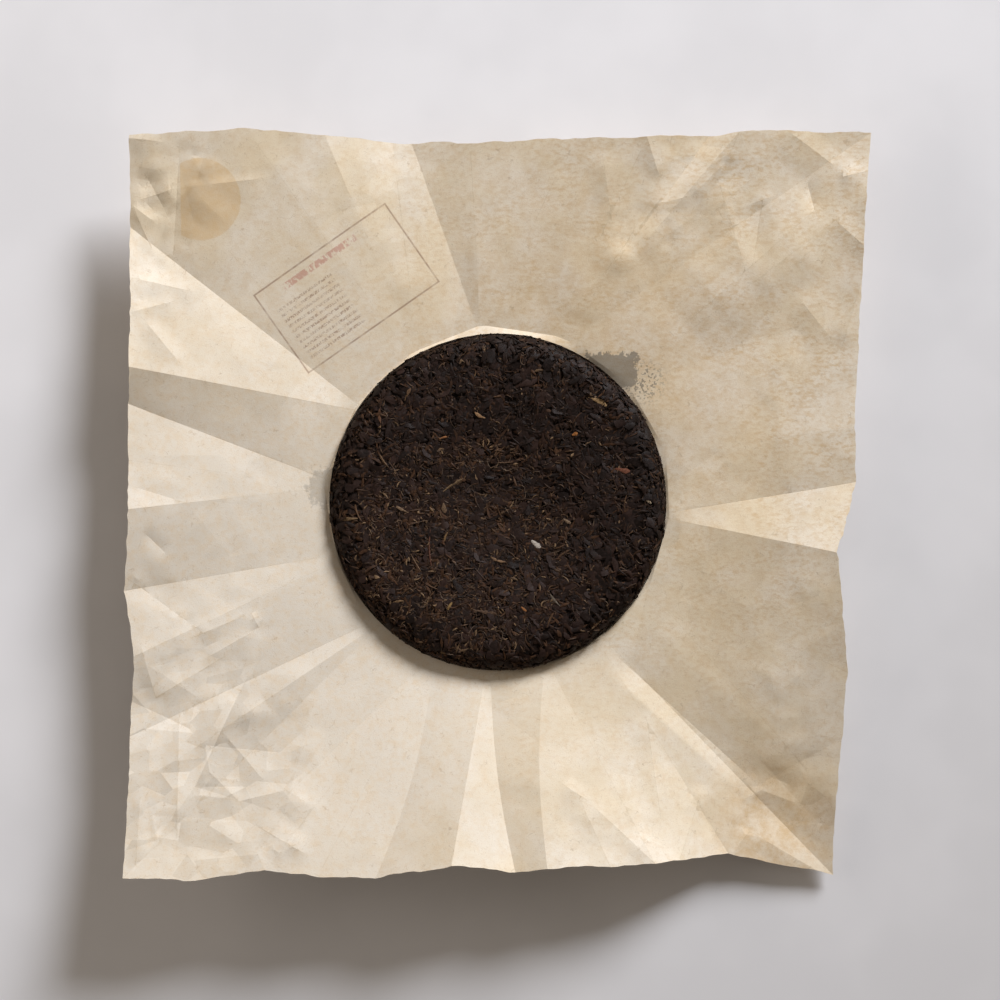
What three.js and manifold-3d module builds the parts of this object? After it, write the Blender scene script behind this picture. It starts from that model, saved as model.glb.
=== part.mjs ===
// A pressed pu erh tea cake that lies, back up, on its opened paper wrapper.
// Millimetres, +Z up. The origin is on the table, under the middle of the cake.
import * as THREE from 'three';
import { mergeVertices } from 'three/addons/utils/BufferGeometryUtils.js';
import Module from 'manifold-3d';

const wasm = await Module();
wasm.setup();

// Tea cake: a disc with a flat face below, a steep edge and a shallow hollow in its back
const CAKE_RADIUS = 96.8;
const CAKE_THICKNESS = 23.6;
const CAKE_WAIST = 12;
const CAKE_FOOT_RADIUS = 74;
const CREST_RADIUS = 82;
const HOLLOW_DEPTH = 5;
const EDGE_ROUNDNESS = 2.6;
const RIM_WEAR = 0.9;
const LUMP_HEIGHT = 0.75;
const CAKE_SEGMENTS = 60;

// Twisted leaves that stand out of the back, with their lower part pressed into it
const LEAF_COUNT = 84;
const LEAF_SEED = 357;
const LEAF_LENGTH = [11, 27];
const LEAF_WIDTH = [2.2, 4.6];
const LEAF_STAND = [0.7, 1.3];
const LEAF_DEPTH = 3;
const LEAF_BEND = 0.5;
const LEAF_STEPS = 3;
const LEAF_TIP = 0.35;
const LEAF_CROWN = 0.6;
const LEAF_FREE_EDGE = 12;
const INWARD_SHARE = 0.1;
const SHOULDER_SWEEP = 0.6;
const FINEST_DETAIL = 0.06;
const MERGE_DISTANCE = 0.001;

// Wrapper: one square sheet of thin paper, taken as thicker here than the real one
const SHEET_THICKNESS = 0.6;
const GAP = 0.3;
const WALL_TOP = 15.6;
const WALL_LEAN = 0.9;
const RING_HEIGHT = 13.6;
const EDGE_CLEARANCE = 1.3;
const PLEAT_ANGLE = 2;
const COLUMN_WIDTH = 20;
const RING_STEP = 16;
const EDGE_RIPPLE = 0.7;

// Height of the sheet's edge above the table, each 45 degrees from +X towards +Y
const EDGE_HEIGHTS = [30, 37, 31, 41, 40, 53, 50, 8];

// Corners of the fold that runs round the cake: [angle, distance from the middle]
const RING_CORNERS = [
  [17, 106], [43, 107], [70, 105], [94.8, 105], [120, 103.5],
  [146.2, 103.5], [173.4, 106], [199, 102], [224.1, 108.5], [248, 111],
  [266.6, 108], [286.6, 103.5], [306.7, 102.5], [331.2, 104.5], [355.5, 104],
];

// Creases from the ring fold to the sheet's edge, in order round the cake.
// ring: corner of the ring fold that the crease starts at, and on which side of it
// edge: where the crease ends, [x, y]
// rise: height of the crease over the sheet's mean slope there, ridges up and valleys down
// from: share of the crease's length after which it shows
const CREASES = [
  { ring: 0, side: -1, edge: [206, 43], rise: -3, from: 0.6 },
  { ring: 0, side: 1, edge: [207.5, 68], rise: -4.5, from: 0.6 },
  { ring: 1, side: -1, edge: [209, 114], rise: -3, from: 0 },
  { ring: 1, side: 1, edge: [211.5, 175], rise: 1.5, from: 0 },
  { ring: 2, side: -4, edge: [214, 212], rise: 1, from: 0.3 },
  { ring: 2, side: -3, edge: [178, 213.5], rise: 0, from: 0.5 },
  { ring: 2, side: -2, edge: [139, 213.5], rise: 0, from: 0.5 },
  { ring: 2, side: -1, edge: [122, 211], rise: -6.5, from: 0.4 },
  { ring: 2, side: 1, edge: [86, 210.5], rise: 2, from: 0.5 },
  { ring: 3, side: -1, edge: [44, 210], rise: 0, from: 0.35 },
  { ring: 3, side: 1, edge: [-16, 207.5], rise: -2.5, from: 0.2 },
  { ring: 3, side: 2, edge: [-50, 208], rise: -8.5, from: 0 },
  { ring: 4, side: -2, edge: [-61, 207.5], rise: -8, from: 0.3 },
  { ring: 4, side: -1, edge: [-99.5, 211], rise: 0, from: 0.2 },
  { ring: 4, side: 1, edge: [-145, 214.5], rise: 2.5, from: 0 },
  { ring: 5, side: -2, edge: [-211, 210], rise: 3, from: 0.4 },
  { ring: 5, side: -1, edge: [-212, 158.5], rise: -7.5, from: 0 },
  { ring: 5, side: 1, edge: [-211, 77.5], rise: 3.5, from: 0 },
  { ring: 6, side: -1, edge: [-212.5, 56.5], rise: -4.5, from: 0 },
  { ring: 6, side: 1, edge: [-212, 24], rise: -2, from: 0.5 },
  { ring: 6, side: 2, edge: [-212, -4], rise: 1, from: 0 },
  { ring: 7, side: -1, edge: [-214.5, -51], rise: -3.5, from: 0 },
  { ring: 7, side: 1, edge: [-208.5, -88.5], rise: -5, from: 0 },
  { ring: 8, side: -1, edge: [-211, -134.5], rise: -11.5, from: 0 },
  { ring: 8, side: 1, edge: [-211.5, -166.5], rise: -6, from: 0.3 },
  { ring: 8, side: 2, edge: [-213.5, -214], rise: 1, from: 0.3 },
  { ring: 9, side: -3, edge: [-172, -216], rise: 1, from: 0.4 },
  { ring: 9, side: -2, edge: [-133, -210], rise: -2.5, from: 0.3 },
  { ring: 9, side: -1, edge: [-103, -214], rise: -1, from: 0.3 },
  { ring: 9, side: 1, edge: [-70, -215], rise: -5, from: 0 },
  { ring: 10, side: -1, edge: [-26.5, -207], rise: 7, from: 0 },
  { ring: 10, side: 1, edge: [10, -212.5], rise: -6.5, from: 0 },
  { ring: 11, side: -1, edge: [28.5, -210], rise: 1.5, from: 0 },
  { ring: 11, side: 1, edge: [90.5, -208], rise: 6.5, from: 0 },
  { ring: 12, side: -1, edge: [134, -204.5], rise: -1, from: 0 },
  { ring: 12, side: 1, edge: [195, -217], rise: -2.5, from: 0 },
  { ring: 13, side: -1, edge: [196.5, -174.5], rise: 5.5, from: 0 },
  { ring: 13, side: 1, edge: [202.5, -98.5], rise: 7.5, from: 0.2 },
  { ring: 14, side: -1, edge: [195.5, -29], rise: 6, from: 0 },
  { ring: 14, side: 1, edge: [207.5, 11.5], rise: -5, from: 0 },
];

// Rows of the sheet: turns of the curve under the cake's edge, then shares of the way out
const UNDER_TURNS = [90, 64, 42, 24].map(THREE.MathUtils.degToRad);
const BRIM_SHARES = [0.25, 0.5, 0.75, 1];
const HUB = [9, 5];

const lerp = THREE.MathUtils.lerp;
const polar = (radius, angle) => [radius * Math.cos(angle), radius * Math.sin(angle)];
const distance = ([ax, ay], [bx, by]) => Math.hypot(bx - ax, by - ay);

// Numbers between 0 and 1 that are the same on each run
function drawer(seed) {
  let state = seed;
  return () => {
    state = (state * 1664525 + 1013904223) % 4294967296;
    return state / 4294967296;
  };
}

function between([low, high], share) {
  return lerp(low, high, share);
}

// A closed mesh from points and triangles
function solidGeometry(points, triangles) {
  const geometry = new THREE.BufferGeometry();
  geometry.setAttribute('position', new THREE.Float32BufferAttribute(points.flat(), 3));
  geometry.setIndex(triangles.flat());
  return geometry;
}

function toManifold(geometry) {
  const bare = geometry.clone();
  bare.deleteAttribute('normal');
  bare.deleteAttribute('uv');
  const merged = mergeVertices(bare, MERGE_DISTANCE);
  return new wasm.Manifold(new wasm.Mesh({
    numProp: 3,
    vertProperties: new Float32Array(merged.attributes.position.array),
    triVerts: new Uint32Array(merged.index.array),
  }));
}

function fromManifold(solid) {
  const mesh = solid.getMesh();
  const geometry = new THREE.BufferGeometry();
  geometry.setAttribute('position', new THREE.BufferAttribute(mesh.vertProperties, 3));
  geometry.setIndex(new THREE.BufferAttribute(mesh.triVerts, 1));
  geometry.computeVertexNormals();
  return geometry;
}

// The outer skin of a joined solid, without slivers and the small hollows that joining seals
function outerSkin(solid) {
  const plain = toManifold(fromManifold(solid.simplify(FINEST_DETAIL)));
  return plain.decompose().reduce((best, piece) => (piece.volume() > best.volume() ? piece : best));
}

function material(colour, roughness) {
  return new THREE.MeshStandardMaterial({ color: colour, roughness, metalness: 0 });
}

// Quarter of a rounded edge: turn 0 is the top of the quarter, a right angle its outside
function edgeCurve(turn, width, height) {
  const power = 2 / EDGE_ROUNDNESS;
  return [width * Math.sin(turn) ** power, height * Math.cos(turn) ** power];
}

// Leaf-sized lumps of the pressed back
function lumps(x, y) {
  const coarse = Math.sin(0.21 * x + 1.3) * Math.sin(0.19 * y + 0.4);
  const slanted = Math.sin(0.33 * x - 0.27 * y) * Math.cos(0.24 * x + 0.36 * y + 2.1);
  return LUMP_HEIGHT * (0.55 * coarse + 0.45 * slanted);
}

// Wear that makes the cake's outline a little uneven
function rimWear(angle) {
  return RIM_WEAR * (0.5 + 0.3 * Math.sin(7 * angle + 1) + 0.2 * Math.sin(16 * angle + 2));
}

// Height of the cake's flat face: the sheet and a gap lie under it
const CAKE_BASE = SHEET_THICKNESS + GAP;
const SHOULDER_WIDTH = CAKE_RADIUS - CREST_RADIUS;
const SHOULDER_HEIGHT = CAKE_THICKNESS - CAKE_WAIST;
const SHOULDER_ARC = Math.PI / 2 * Math.hypot(SHOULDER_WIDTH, SHOULDER_HEIGHT) / Math.SQRT2;
const BACK_ARC = CREST_RADIUS + SHOULDER_ARC;

// Point of the cake's back at a distance along the surface from its middle
function backPoint(arc, angle) {
  let radius = arc;
  let height = CAKE_THICKNESS - HOLLOW_DEPTH * 0.5 * (1 + Math.cos(Math.PI * arc / CREST_RADIUS));
  if (arc > CREST_RADIUS) {
    const turn = Math.PI / 2 * Math.min(1, (arc - CREST_RADIUS) / SHOULDER_ARC);
    const [out, up] = edgeCurve(turn, SHOULDER_WIDTH, SHOULDER_HEIGHT);
    radius = CREST_RADIUS + out;
    height = CAKE_WAIST + up;
  }
  radius -= rimWear(angle) * (radius / CAKE_RADIUS) ** 4;
  const [x, y] = polar(radius, angle);
  const fade = Math.min(1, (BACK_ARC - arc) / SHOULDER_ARC * 2);
  return new THREE.Vector3(x, y, CAKE_BASE + height + lumps(x, y) * fade);
}

// Direction that points out of the back there
function backNormal(arc, angle) {
  const step = 0.5;
  const turn = step / Math.max(arc, 1);
  const outward = backPoint(arc + step, angle).sub(backPoint(arc - step, angle));
  const around = backPoint(arc, angle + turn).sub(backPoint(arc, angle - turn));
  return outward.cross(around).normalize();
}

// The cake without its leaves: rings from the middle of the back round to the flat face
function cakeCore() {
  const rings = [];
  const arcs = [9, 20, 31, 42, 53, 63, 72, 80, 86, 91, 96, BACK_ARC];
  const angles = [...Array(CAKE_SEGMENTS).keys()].map((k) => 2 * Math.PI * k / CAKE_SEGMENTS);
  for (const arc of arcs) {
    rings.push(angles.map((angle) => backPoint(arc, angle).toArray()));
  }
  const underWidth = CAKE_RADIUS - CAKE_FOOT_RADIUS;
  for (const turn of [60, 30, 0].map(THREE.MathUtils.degToRad)) {
    const [out, up] = edgeCurve(turn, underWidth, CAKE_WAIST);
    const height = CAKE_BASE + CAKE_WAIST - up;
    rings.push(angles.map((angle) => {
      const radius = CAKE_FOOT_RADIUS + out;
      return [...polar(radius - rimWear(angle) * (radius / CAKE_RADIUS) ** 4, angle), height];
    }));
  }
  const points = [backPoint(0, 0).toArray(), ...rings.flat(), [0, 0, CAKE_BASE]];
  const at = (ring, k) => 1 + ring * CAKE_SEGMENTS + (k % CAKE_SEGMENTS);
  const last = points.length - 1;
  const triangles = [];
  for (let k = 0; k < CAKE_SEGMENTS; k += 1) {
    triangles.push([0, at(0, k), at(0, k + 1)]);
    for (let ring = 0; ring < rings.length - 1; ring += 1) {
      triangles.push([at(ring, k), at(ring + 1, k), at(ring + 1, k + 1)]);
      triangles.push([at(ring, k), at(ring + 1, k + 1), at(ring, k + 1)]);
    }
    triangles.push([at(rings.length - 1, k), last, at(rings.length - 1, k + 1)]);
  }
  return solidGeometry(points, triangles);
}

// Point and outward direction of the back at a place on the back laid out flat
function backPlace(u, v) {
  const arc = Math.hypot(u, v);
  const angle = Math.atan2(v, u);
  return { point: backPoint(arc, angle), normal: backNormal(arc, angle) };
}

// One leaf: a bent strip that follows the back and narrows to both tips
function leaf([u, v], heading, length, width, stand, bend) {
  const points = [];
  for (let step = 0; step <= LEAF_STEPS; step += 1) {
    const share = step / LEAF_STEPS;
    const along = (share - 0.5) * length;
    const aside = bend * length * (0.25 - (share - 0.5) ** 2);
    const right = u + along * Math.cos(heading) - aside * Math.sin(heading);
    const up = v + along * Math.sin(heading) + aside * Math.cos(heading);
    const { point, normal } = backPlace(right, up);
    const ahead = backPlace(right + Math.cos(heading), up + Math.sin(heading)).point.sub(point);
    const side = ahead.cross(normal).normalize();
    const taper = lerp(LEAF_TIP, 1, Math.sin(Math.PI * share));
    const half = width / 2 * taper;
    const top = half * LEAF_CROWN;
    const rise = stand * taper;
    for (const [across, out] of [[-half, -LEAF_DEPTH], [half, -LEAF_DEPTH], [top, rise], [-top, rise]]) {
      points.push(point.clone().addScaledVector(side, across).addScaledVector(normal, out).toArray());
    }
  }
  const triangles = [[0, 1, 2], [0, 2, 3]];
  for (let step = 0; step < LEAF_STEPS; step += 1) {
    const base = step * 4;
    for (let k = 0; k < 4; k += 1) {
      const next = (k + 1) % 4;
      triangles.push([base + k, base + 4 + next, base + next]);
      triangles.push([base + k, base + 4 + k, base + 4 + next]);
    }
  }
  const end = LEAF_STEPS * 4;
  triangles.push([end, end + 2, end + 1], [end, end + 3, end + 2]);
  return solidGeometry(points, triangles);
}

// The cake with its leaves, spread evenly over the back by the golden angle
function teaCake() {
  const draw = drawer(LEAF_SEED);
  const goldenAngle = Math.PI * (3 - Math.sqrt(5));
  const reach = BACK_ARC - LEAF_FREE_EDGE;
  let solid = toManifold(cakeCore());
  for (let k = 0; k < LEAF_COUNT; k += 1) {
    const length = between(LEAF_LENGTH, draw() ** 1.5);
    const arc = reach * Math.sqrt((k + 0.5) / LEAF_COUNT) - length * INWARD_SHARE;
    const angle = k * goldenAngle;
    const sweep = arc > CREST_RADIUS + SHOULDER_ARC / 3 ? SHOULDER_SWEEP : Math.PI;
    const heading = angle + Math.PI / 2 + (draw() - 0.5) * sweep;
    const width = between(LEAF_WIDTH, draw());
    const stand = between(LEAF_STAND, draw());
    const bend = LEAF_BEND * (draw() * 2 - 1);
    const strip = leaf(polar(arc, angle), heading, length, width, stand, bend);
    solid = solid.add(toManifold(strip));
  }
  const mesh = new THREE.Mesh(fromManifold(outerSkin(solid)), material(0x261c16, 0.62));
  mesh.name = 'tea_cake';
  return mesh;
}

// Mean height of the sheet's edge in that direction
function edgeHeight(x, y) {
  const eighths = (Math.atan2(y, x) / (2 * Math.PI) + 1) % 1 * EDGE_HEIGHTS.length;
  const first = Math.floor(eighths);
  const share = eighths - first;
  const next = EDGE_HEIGHTS[(first + 1) % EDGE_HEIGHTS.length];
  return lerp(EDGE_HEIGHTS[first], next, share * share * (3 - 2 * share));
}

// Where a crease starts on the ring fold
function ringPoint(crease) {
  const [angle, radius] = RING_CORNERS[crease.ring];
  return polar(radius, THREE.MathUtils.degToRad(angle + crease.side * PLEAT_ANGLE / 2));
}

// Height of a crease at a share of its way from the ring fold to the edge
function creaseHeight(crease, share) {
  const mean = lerp(RING_HEIGHT, edgeHeight(...crease.edge), share);
  return mean + crease.rise * Math.max(0, (share - crease.from) / (1 - crease.from));
}

// Columns of the sheet: each crease, and evenly spaced lines in the facets between creases
function sheetColumns() {
  const columns = [];
  CREASES.forEach((crease, index) => {
    const next = CREASES[(index + 1) % CREASES.length];
    const edgeSpan = distance(crease.edge, next.edge);
    const ringSpan = distance(ringPoint(crease), ringPoint(next));
    const count = Math.ceil(Math.max(edgeSpan / COLUMN_WIDTH, ringSpan / RING_STEP));
    for (let k = 0; k < count; k += 1) {
      columns.push({ crease, next, share: k / count });
    }
  });
  return columns;
}

// Points of one column of the sheet, from under the cake up its edge and out to the rim.
// Each is a pair: the point of the upper face, and the one a sheet's thickness below it
function columnPoints({ crease, next, share }) {
  const start = ringPoint(crease);
  const end = ringPoint(next);
  const ring = [lerp(start[0], end[0], share), lerp(start[1], end[1], share)];
  const angle = Math.atan2(ring[1], ring[0]);
  const points = [];
  const addPair = (x, y, z, tilt) => {
    const [outX, outY] = polar(SHEET_THICKNESS * Math.cos(tilt), angle);
    points.push([[x, y, z], [x + outX, y + outY, z - SHEET_THICKNESS * Math.sin(tilt)]]);
  };
  const width = CAKE_RADIUS + EDGE_CLEARANCE - CAKE_FOOT_RADIUS;
  for (const turn of UNDER_TURNS) {
    const [out, up] = edgeCurve(Math.PI / 2 - turn, width, CAKE_WAIST);
    addPair(...polar(CAKE_FOOT_RADIUS + out, angle), SHEET_THICKNESS + CAKE_WAIST - up, turn);
  }
  addPair(...polar(CAKE_FOOT_RADIUS + width + WALL_LEAN, angle), WALL_TOP, Math.PI / 4);
  addPair(...ring, RING_HEIGHT, Math.PI / 2);
  const edge = [lerp(crease.edge[0], next.edge[0], share), lerp(crease.edge[1], next.edge[1], share)];
  for (const way of BRIM_SHARES) {
    const height = lerp(creaseHeight(crease, way), creaseHeight(next, way), share);
    const ripple = EDGE_RIPPLE * way * Math.sin(0.13 * edge[0] + 0.17 * edge[1] + 5 * way);
    addPair(lerp(ring[0], edge[0], way), lerp(ring[1], edge[1], way), height + ripple, Math.PI / 2);
  }
  return points;
}

// The opened sheet: both faces have the same triangles, and a strip closes the edge
function wrapper() {
  const columns = sheetColumns().map(columnPoints);
  const rows = columns[0].length;
  const pairs = [[[...HUB, SHEET_THICKNESS], [...HUB, 0]], ...columns.flat()];
  const upper = pairs.map(([above]) => above);
  const lower = pairs.map(([, below]) => below);
  const at = (column, row) => 1 + (column % columns.length) * rows + row;
  const faces = [];
  for (let k = 0; k < columns.length; k += 1) {
    faces.push([0, at(k, 0), at(k + 1, 0)]);
    for (let row = 0; row < rows - 1; row += 1) {
      faces.push([at(k, row), at(k, row + 1), at(k + 1, row + 1)]);
      faces.push([at(k, row), at(k + 1, row + 1), at(k + 1, row)]);
    }
  }
  const under = upper.length;
  const triangles = [...faces, ...faces.map(([a, b, c]) => [a + under, c + under, b + under])];
  for (let k = 0; k < columns.length; k += 1) {
    const here = at(k, rows - 1);
    const there = at(k + 1, rows - 1);
    triangles.push([here, here + under, there + under], [here, there + under, there]);
  }
  const geometry = solidGeometry([...upper, ...lower], triangles);
  geometry.computeVertexNormals();
  const mesh = new THREE.Mesh(geometry, material(0xd9cdb2, 0.85));
  mesh.name = 'paper_wrapper';
  return mesh;
}

const teaCakeOnWrapper = new THREE.Group();
teaCakeOnWrapper.add(teaCake(), wrapper());

export default teaCakeOnWrapper;
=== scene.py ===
"""A pressed pu erh tea cake that lies, back up, on its opened paper wrapper.

Lengths in the classes below are millimetres unless a name says otherwise, and every mesh is
written in metres. +Z is up, and the origin is on the table under the middle of the cake.
"""
import logging
import math
from dataclasses import dataclass, field
from enum import Enum

import bpy
import numpy as np
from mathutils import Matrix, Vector


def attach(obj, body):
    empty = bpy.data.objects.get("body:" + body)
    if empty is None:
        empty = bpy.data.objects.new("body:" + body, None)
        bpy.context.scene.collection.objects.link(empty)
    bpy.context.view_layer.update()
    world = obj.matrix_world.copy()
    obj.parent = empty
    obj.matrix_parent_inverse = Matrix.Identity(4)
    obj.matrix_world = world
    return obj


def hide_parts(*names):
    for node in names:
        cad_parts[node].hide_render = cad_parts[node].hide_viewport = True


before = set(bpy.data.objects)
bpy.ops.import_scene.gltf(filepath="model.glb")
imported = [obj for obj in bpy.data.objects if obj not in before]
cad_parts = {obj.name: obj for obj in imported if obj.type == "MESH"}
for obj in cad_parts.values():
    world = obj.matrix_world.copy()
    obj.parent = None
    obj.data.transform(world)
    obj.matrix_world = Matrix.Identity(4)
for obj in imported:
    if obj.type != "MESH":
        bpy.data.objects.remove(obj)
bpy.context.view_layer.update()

MM = 0.001
Array = np.ndarray
Colour = tuple[float, float, float]
log = logging.getLogger("tea_cake")


def srgb(red: float, green: float, blue: float) -> Colour:
    """Turn a colour from 0 to 255 as seen on a screen into linear light.

    Args:
        red, green, blue: the colour's parts from 0 to 255.

    Returns:
        The three parts in linear light from 0 to 1.
    """
    parts = []
    for part in (red, green, blue):
        value = part / 255
        parts.append(value / 12.92 if value <= 0.04045 else ((value + 0.055) / 1.055) ** 2.4)
    return tuple(parts)


def smooth(low: float, high: float, value: Array) -> Array:
    """Rise smoothly from 0 at low to 1 at high."""
    share = np.clip((value - low) / (high - low), 0, 1)
    return share * share * (3 - 2 * share)


def waves(x: Array, y: Array, length: float, seed: int, count: int = 7) -> Array:
    """Give a smooth uneven field from a few waves that run in random directions.

    Args:
        x, y: places.
        length: mean length of the waves.
        seed: number that picks the directions.
        count: number of waves.

    Returns:
        The field, mostly between -1 and 1.
    """
    rng = np.random.default_rng(seed)
    total = np.zeros_like(x, dtype=float)
    for _ in range(count):
        turn, phase = rng.uniform(0, 2 * math.pi, 2)
        pace = 2 * math.pi / (length * rng.uniform(0.7, 1.5))
        total += np.sin(pace * (x * math.cos(turn) + y * math.sin(turn)) + phase)
    return total / math.sqrt(count)


class Mesher:
    """Steps that several pieces share while their meshes are made."""

    @staticmethod
    def deselect() -> None:
        """Leave nothing selected or active."""
        for other in bpy.context.selected_objects:
            other.select_set(False)
        bpy.context.view_layer.objects.active = None

    @staticmethod
    def pick(piece: bpy.types.Object) -> None:
        """Make a piece the only selected one, and the active one.

        Args:
            piece: the object that the next operators work on.
        """
        Mesher.deselect()
        piece.select_set(True)
        bpy.context.view_layer.objects.active = piece

    @staticmethod
    def take(name: str) -> bpy.types.Object:
        """Name the primitive that was just added.

        Args:
            name: the piece's name.

        Returns:
            The new object.
        """
        piece = bpy.context.object
        piece.name = name
        piece.data.name = name
        return piece

    @staticmethod
    def edit(piece: bpy.types.Object, *steps: tuple) -> None:
        """Run operators on the whole mesh in edit mode.

        Args:
            piece: the object that is edited.
            steps: pairs of an operator and its settings.
        """
        Mesher.pick(piece)
        bpy.ops.object.mode_set(mode="EDIT")
        bpy.ops.mesh.select_all(action="SELECT")
        for operator, settings in steps:
            operator(**settings)
        bpy.ops.object.mode_set(mode="OBJECT")

    @staticmethod
    def place(piece: bpy.types.Object, points: Array) -> None:
        """Move each vertex to its place.

        Args:
            piece: the object whose mesh is shaped.
            points: one row of x, y and z in millimetres for each vertex.
        """
        piece.location = (0, 0, 0)
        piece.data.vertices.foreach_set("co", (points * MM).astype(np.float32).ravel())
        piece.data.update()

    @staticmethod
    def points(piece: bpy.types.Object) -> Array:
        """Read the places of the vertices.

        Args:
            piece: the object whose mesh is read.

        Returns:
            One row of x, y and z in millimetres for each vertex.
        """
        flat = np.empty(len(piece.data.vertices) * 3, dtype=np.float32)
        piece.data.vertices.foreach_get("co", flat)
        return flat.reshape(-1, 3).astype(float) / MM

    @staticmethod
    def smooth(piece: bpy.types.Object, degrees: float) -> None:
        """Shade smooth, apart from sharp edges.

        Args:
            piece: the object that is shaded.
            degrees: the angle from which an edge counts as sharp.
        """
        Mesher.pick(piece)
        bpy.ops.object.shade_smooth_by_angle(angle=math.radians(degrees))

    @staticmethod
    def build(name: str, points: Array, faces: Array) -> bpy.types.Object:
        """Make an object from points and faces of equal size.

        Args:
            name: the piece's name.
            points: one row of x, y and z in millimetres for each vertex.
            faces: one row of vertex numbers for each face.

        Returns:
            The new object.
        """
        mesh = bpy.data.meshes.new(name)
        count, size = faces.shape
        mesh.vertices.add(len(points))
        mesh.vertices.foreach_set("co", (points * MM).astype(np.float32).ravel())
        mesh.loops.add(count * size)
        mesh.loops.foreach_set("vertex_index", faces.astype(np.int32).ravel())
        mesh.polygons.add(count)
        mesh.polygons.foreach_set("loop_start", np.arange(0, count * size, size, dtype=np.int32))
        mesh.update(calc_edges=True)
        mesh.validate()
        piece = bpy.data.objects.new(name, mesh)
        bpy.context.scene.collection.objects.link(piece)
        return piece


class Nodes:
    """A material's node tree with short ways to add and join nodes."""

    def __init__(self, tree: bpy.types.NodeTree) -> None:
        """Keep the tree."""
        self.tree = tree

    def add(self, kind: str, inputs: dict | None = None, **settings: object) -> bpy.types.Node:
        """Add a node.

        Args:
            kind: the node's type.
            inputs: values or sockets for its inputs, by name or number.
            settings: the node's own settings.

        Returns:
            The new node.
        """
        node = self.tree.nodes.new(kind)
        for name, value in settings.items():
            setattr(node, name, value)
        for name, value in (inputs or {}).items():
            if isinstance(value, bpy.types.NodeSocket):
                self.join(value, node.inputs[name])
            else:
                node.inputs[name].default_value = value
        return node

    def join(self, value: bpy.types.NodeSocket, socket: bpy.types.NodeSocket) -> None:
        """Join an output to an input."""
        self.tree.links.new(value, socket)

    def vector(self, operation: str, first: object, second: object) -> bpy.types.NodeSocket:
        """Work out a vector from two vectors.

        Args:
            operation: what is done with them.
            first, second: the vectors or sockets.

        Returns:
            The socket that holds the result.
        """
        return self.add("ShaderNodeVectorMath", {0: first, 1: second}, operation=operation).outputs[0]

    def math(self, operation: str, *values: object, clamp: bool = False) -> bpy.types.NodeSocket:
        """Work out a number from values or sockets.

        Args:
            operation: what is done with them.
            values: the numbers or sockets, in order.
            clamp: whether the result stays between 0 and 1.

        Returns:
            The socket that holds the result.
        """
        node = self.add("ShaderNodeMath", dict(enumerate(values)), operation=operation)
        node.use_clamp = clamp
        return node.outputs[0]

    def ramp(self, value: object, low: float, high: float, start: float = 0.0, end: float = 1.0) -> object:
        """Map a number from one range to another, smoothly and without leaving it.

        Args:
            value: the number or socket.
            low, high: the range that it comes from.
            start, end: the range that it is mapped to.

        Returns:
            The socket that holds the result.
        """
        inputs = {"Value": value, "From Min": low, "From Max": high, "To Min": start, "To Max": end}
        node = self.add("ShaderNodeMapRange", inputs, interpolation_type="SMOOTHSTEP")
        return node.outputs["Result"]

    def mix(self, share: object, first: object, second: object, blend: str = "MIX") -> object:
        """Mix two colours.

        Args:
            share: how much of the second one there is.
            first, second: the colours or sockets.
            blend: how they are mixed.

        Returns:
            The socket that holds the mixed colour.
        """
        node = self.add("ShaderNodeMix", data_type="RGBA", blend_type=blend)
        for socket, value in zip((node.inputs[0], node.inputs[6], node.inputs[7]), (share, first, second)):
            if isinstance(value, bpy.types.NodeSocket):
                self.join(value, socket)
            elif isinstance(value, tuple):
                socket.default_value = (*value, 1)
            else:
                socket.default_value = value
        return node.outputs[2]

    def noise(self, vector: object, scale: float, detail: float = 3, rough: float = 0.55) -> object:
        """Add a noise of about so many swells a metre."""
        inputs = {"Vector": vector, "Scale": scale, "Detail": detail, "Roughness": rough}
        return self.add("ShaderNodeTexNoise", inputs).outputs["Fac"]


class Finish:
    """A material made of nodes on one Principled shader."""

    name: str

    def make(self) -> bpy.types.Material:
        """Make the material.

        Returns:
            The new material.
        """
        material = bpy.data.materials.new(self.name)
        material.use_nodes = True
        nodes = Nodes(material.node_tree)
        self.dress(nodes, material.node_tree.nodes["Principled BSDF"])
        return material

    def dress(self, nodes: Nodes, shader: bpy.types.Node) -> None:
        """Fill in the shader's sockets.

        Args:
            nodes: the material's nodes.
            shader: the shader whose sockets are filled in.
        """
        raise NotImplementedError


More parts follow.
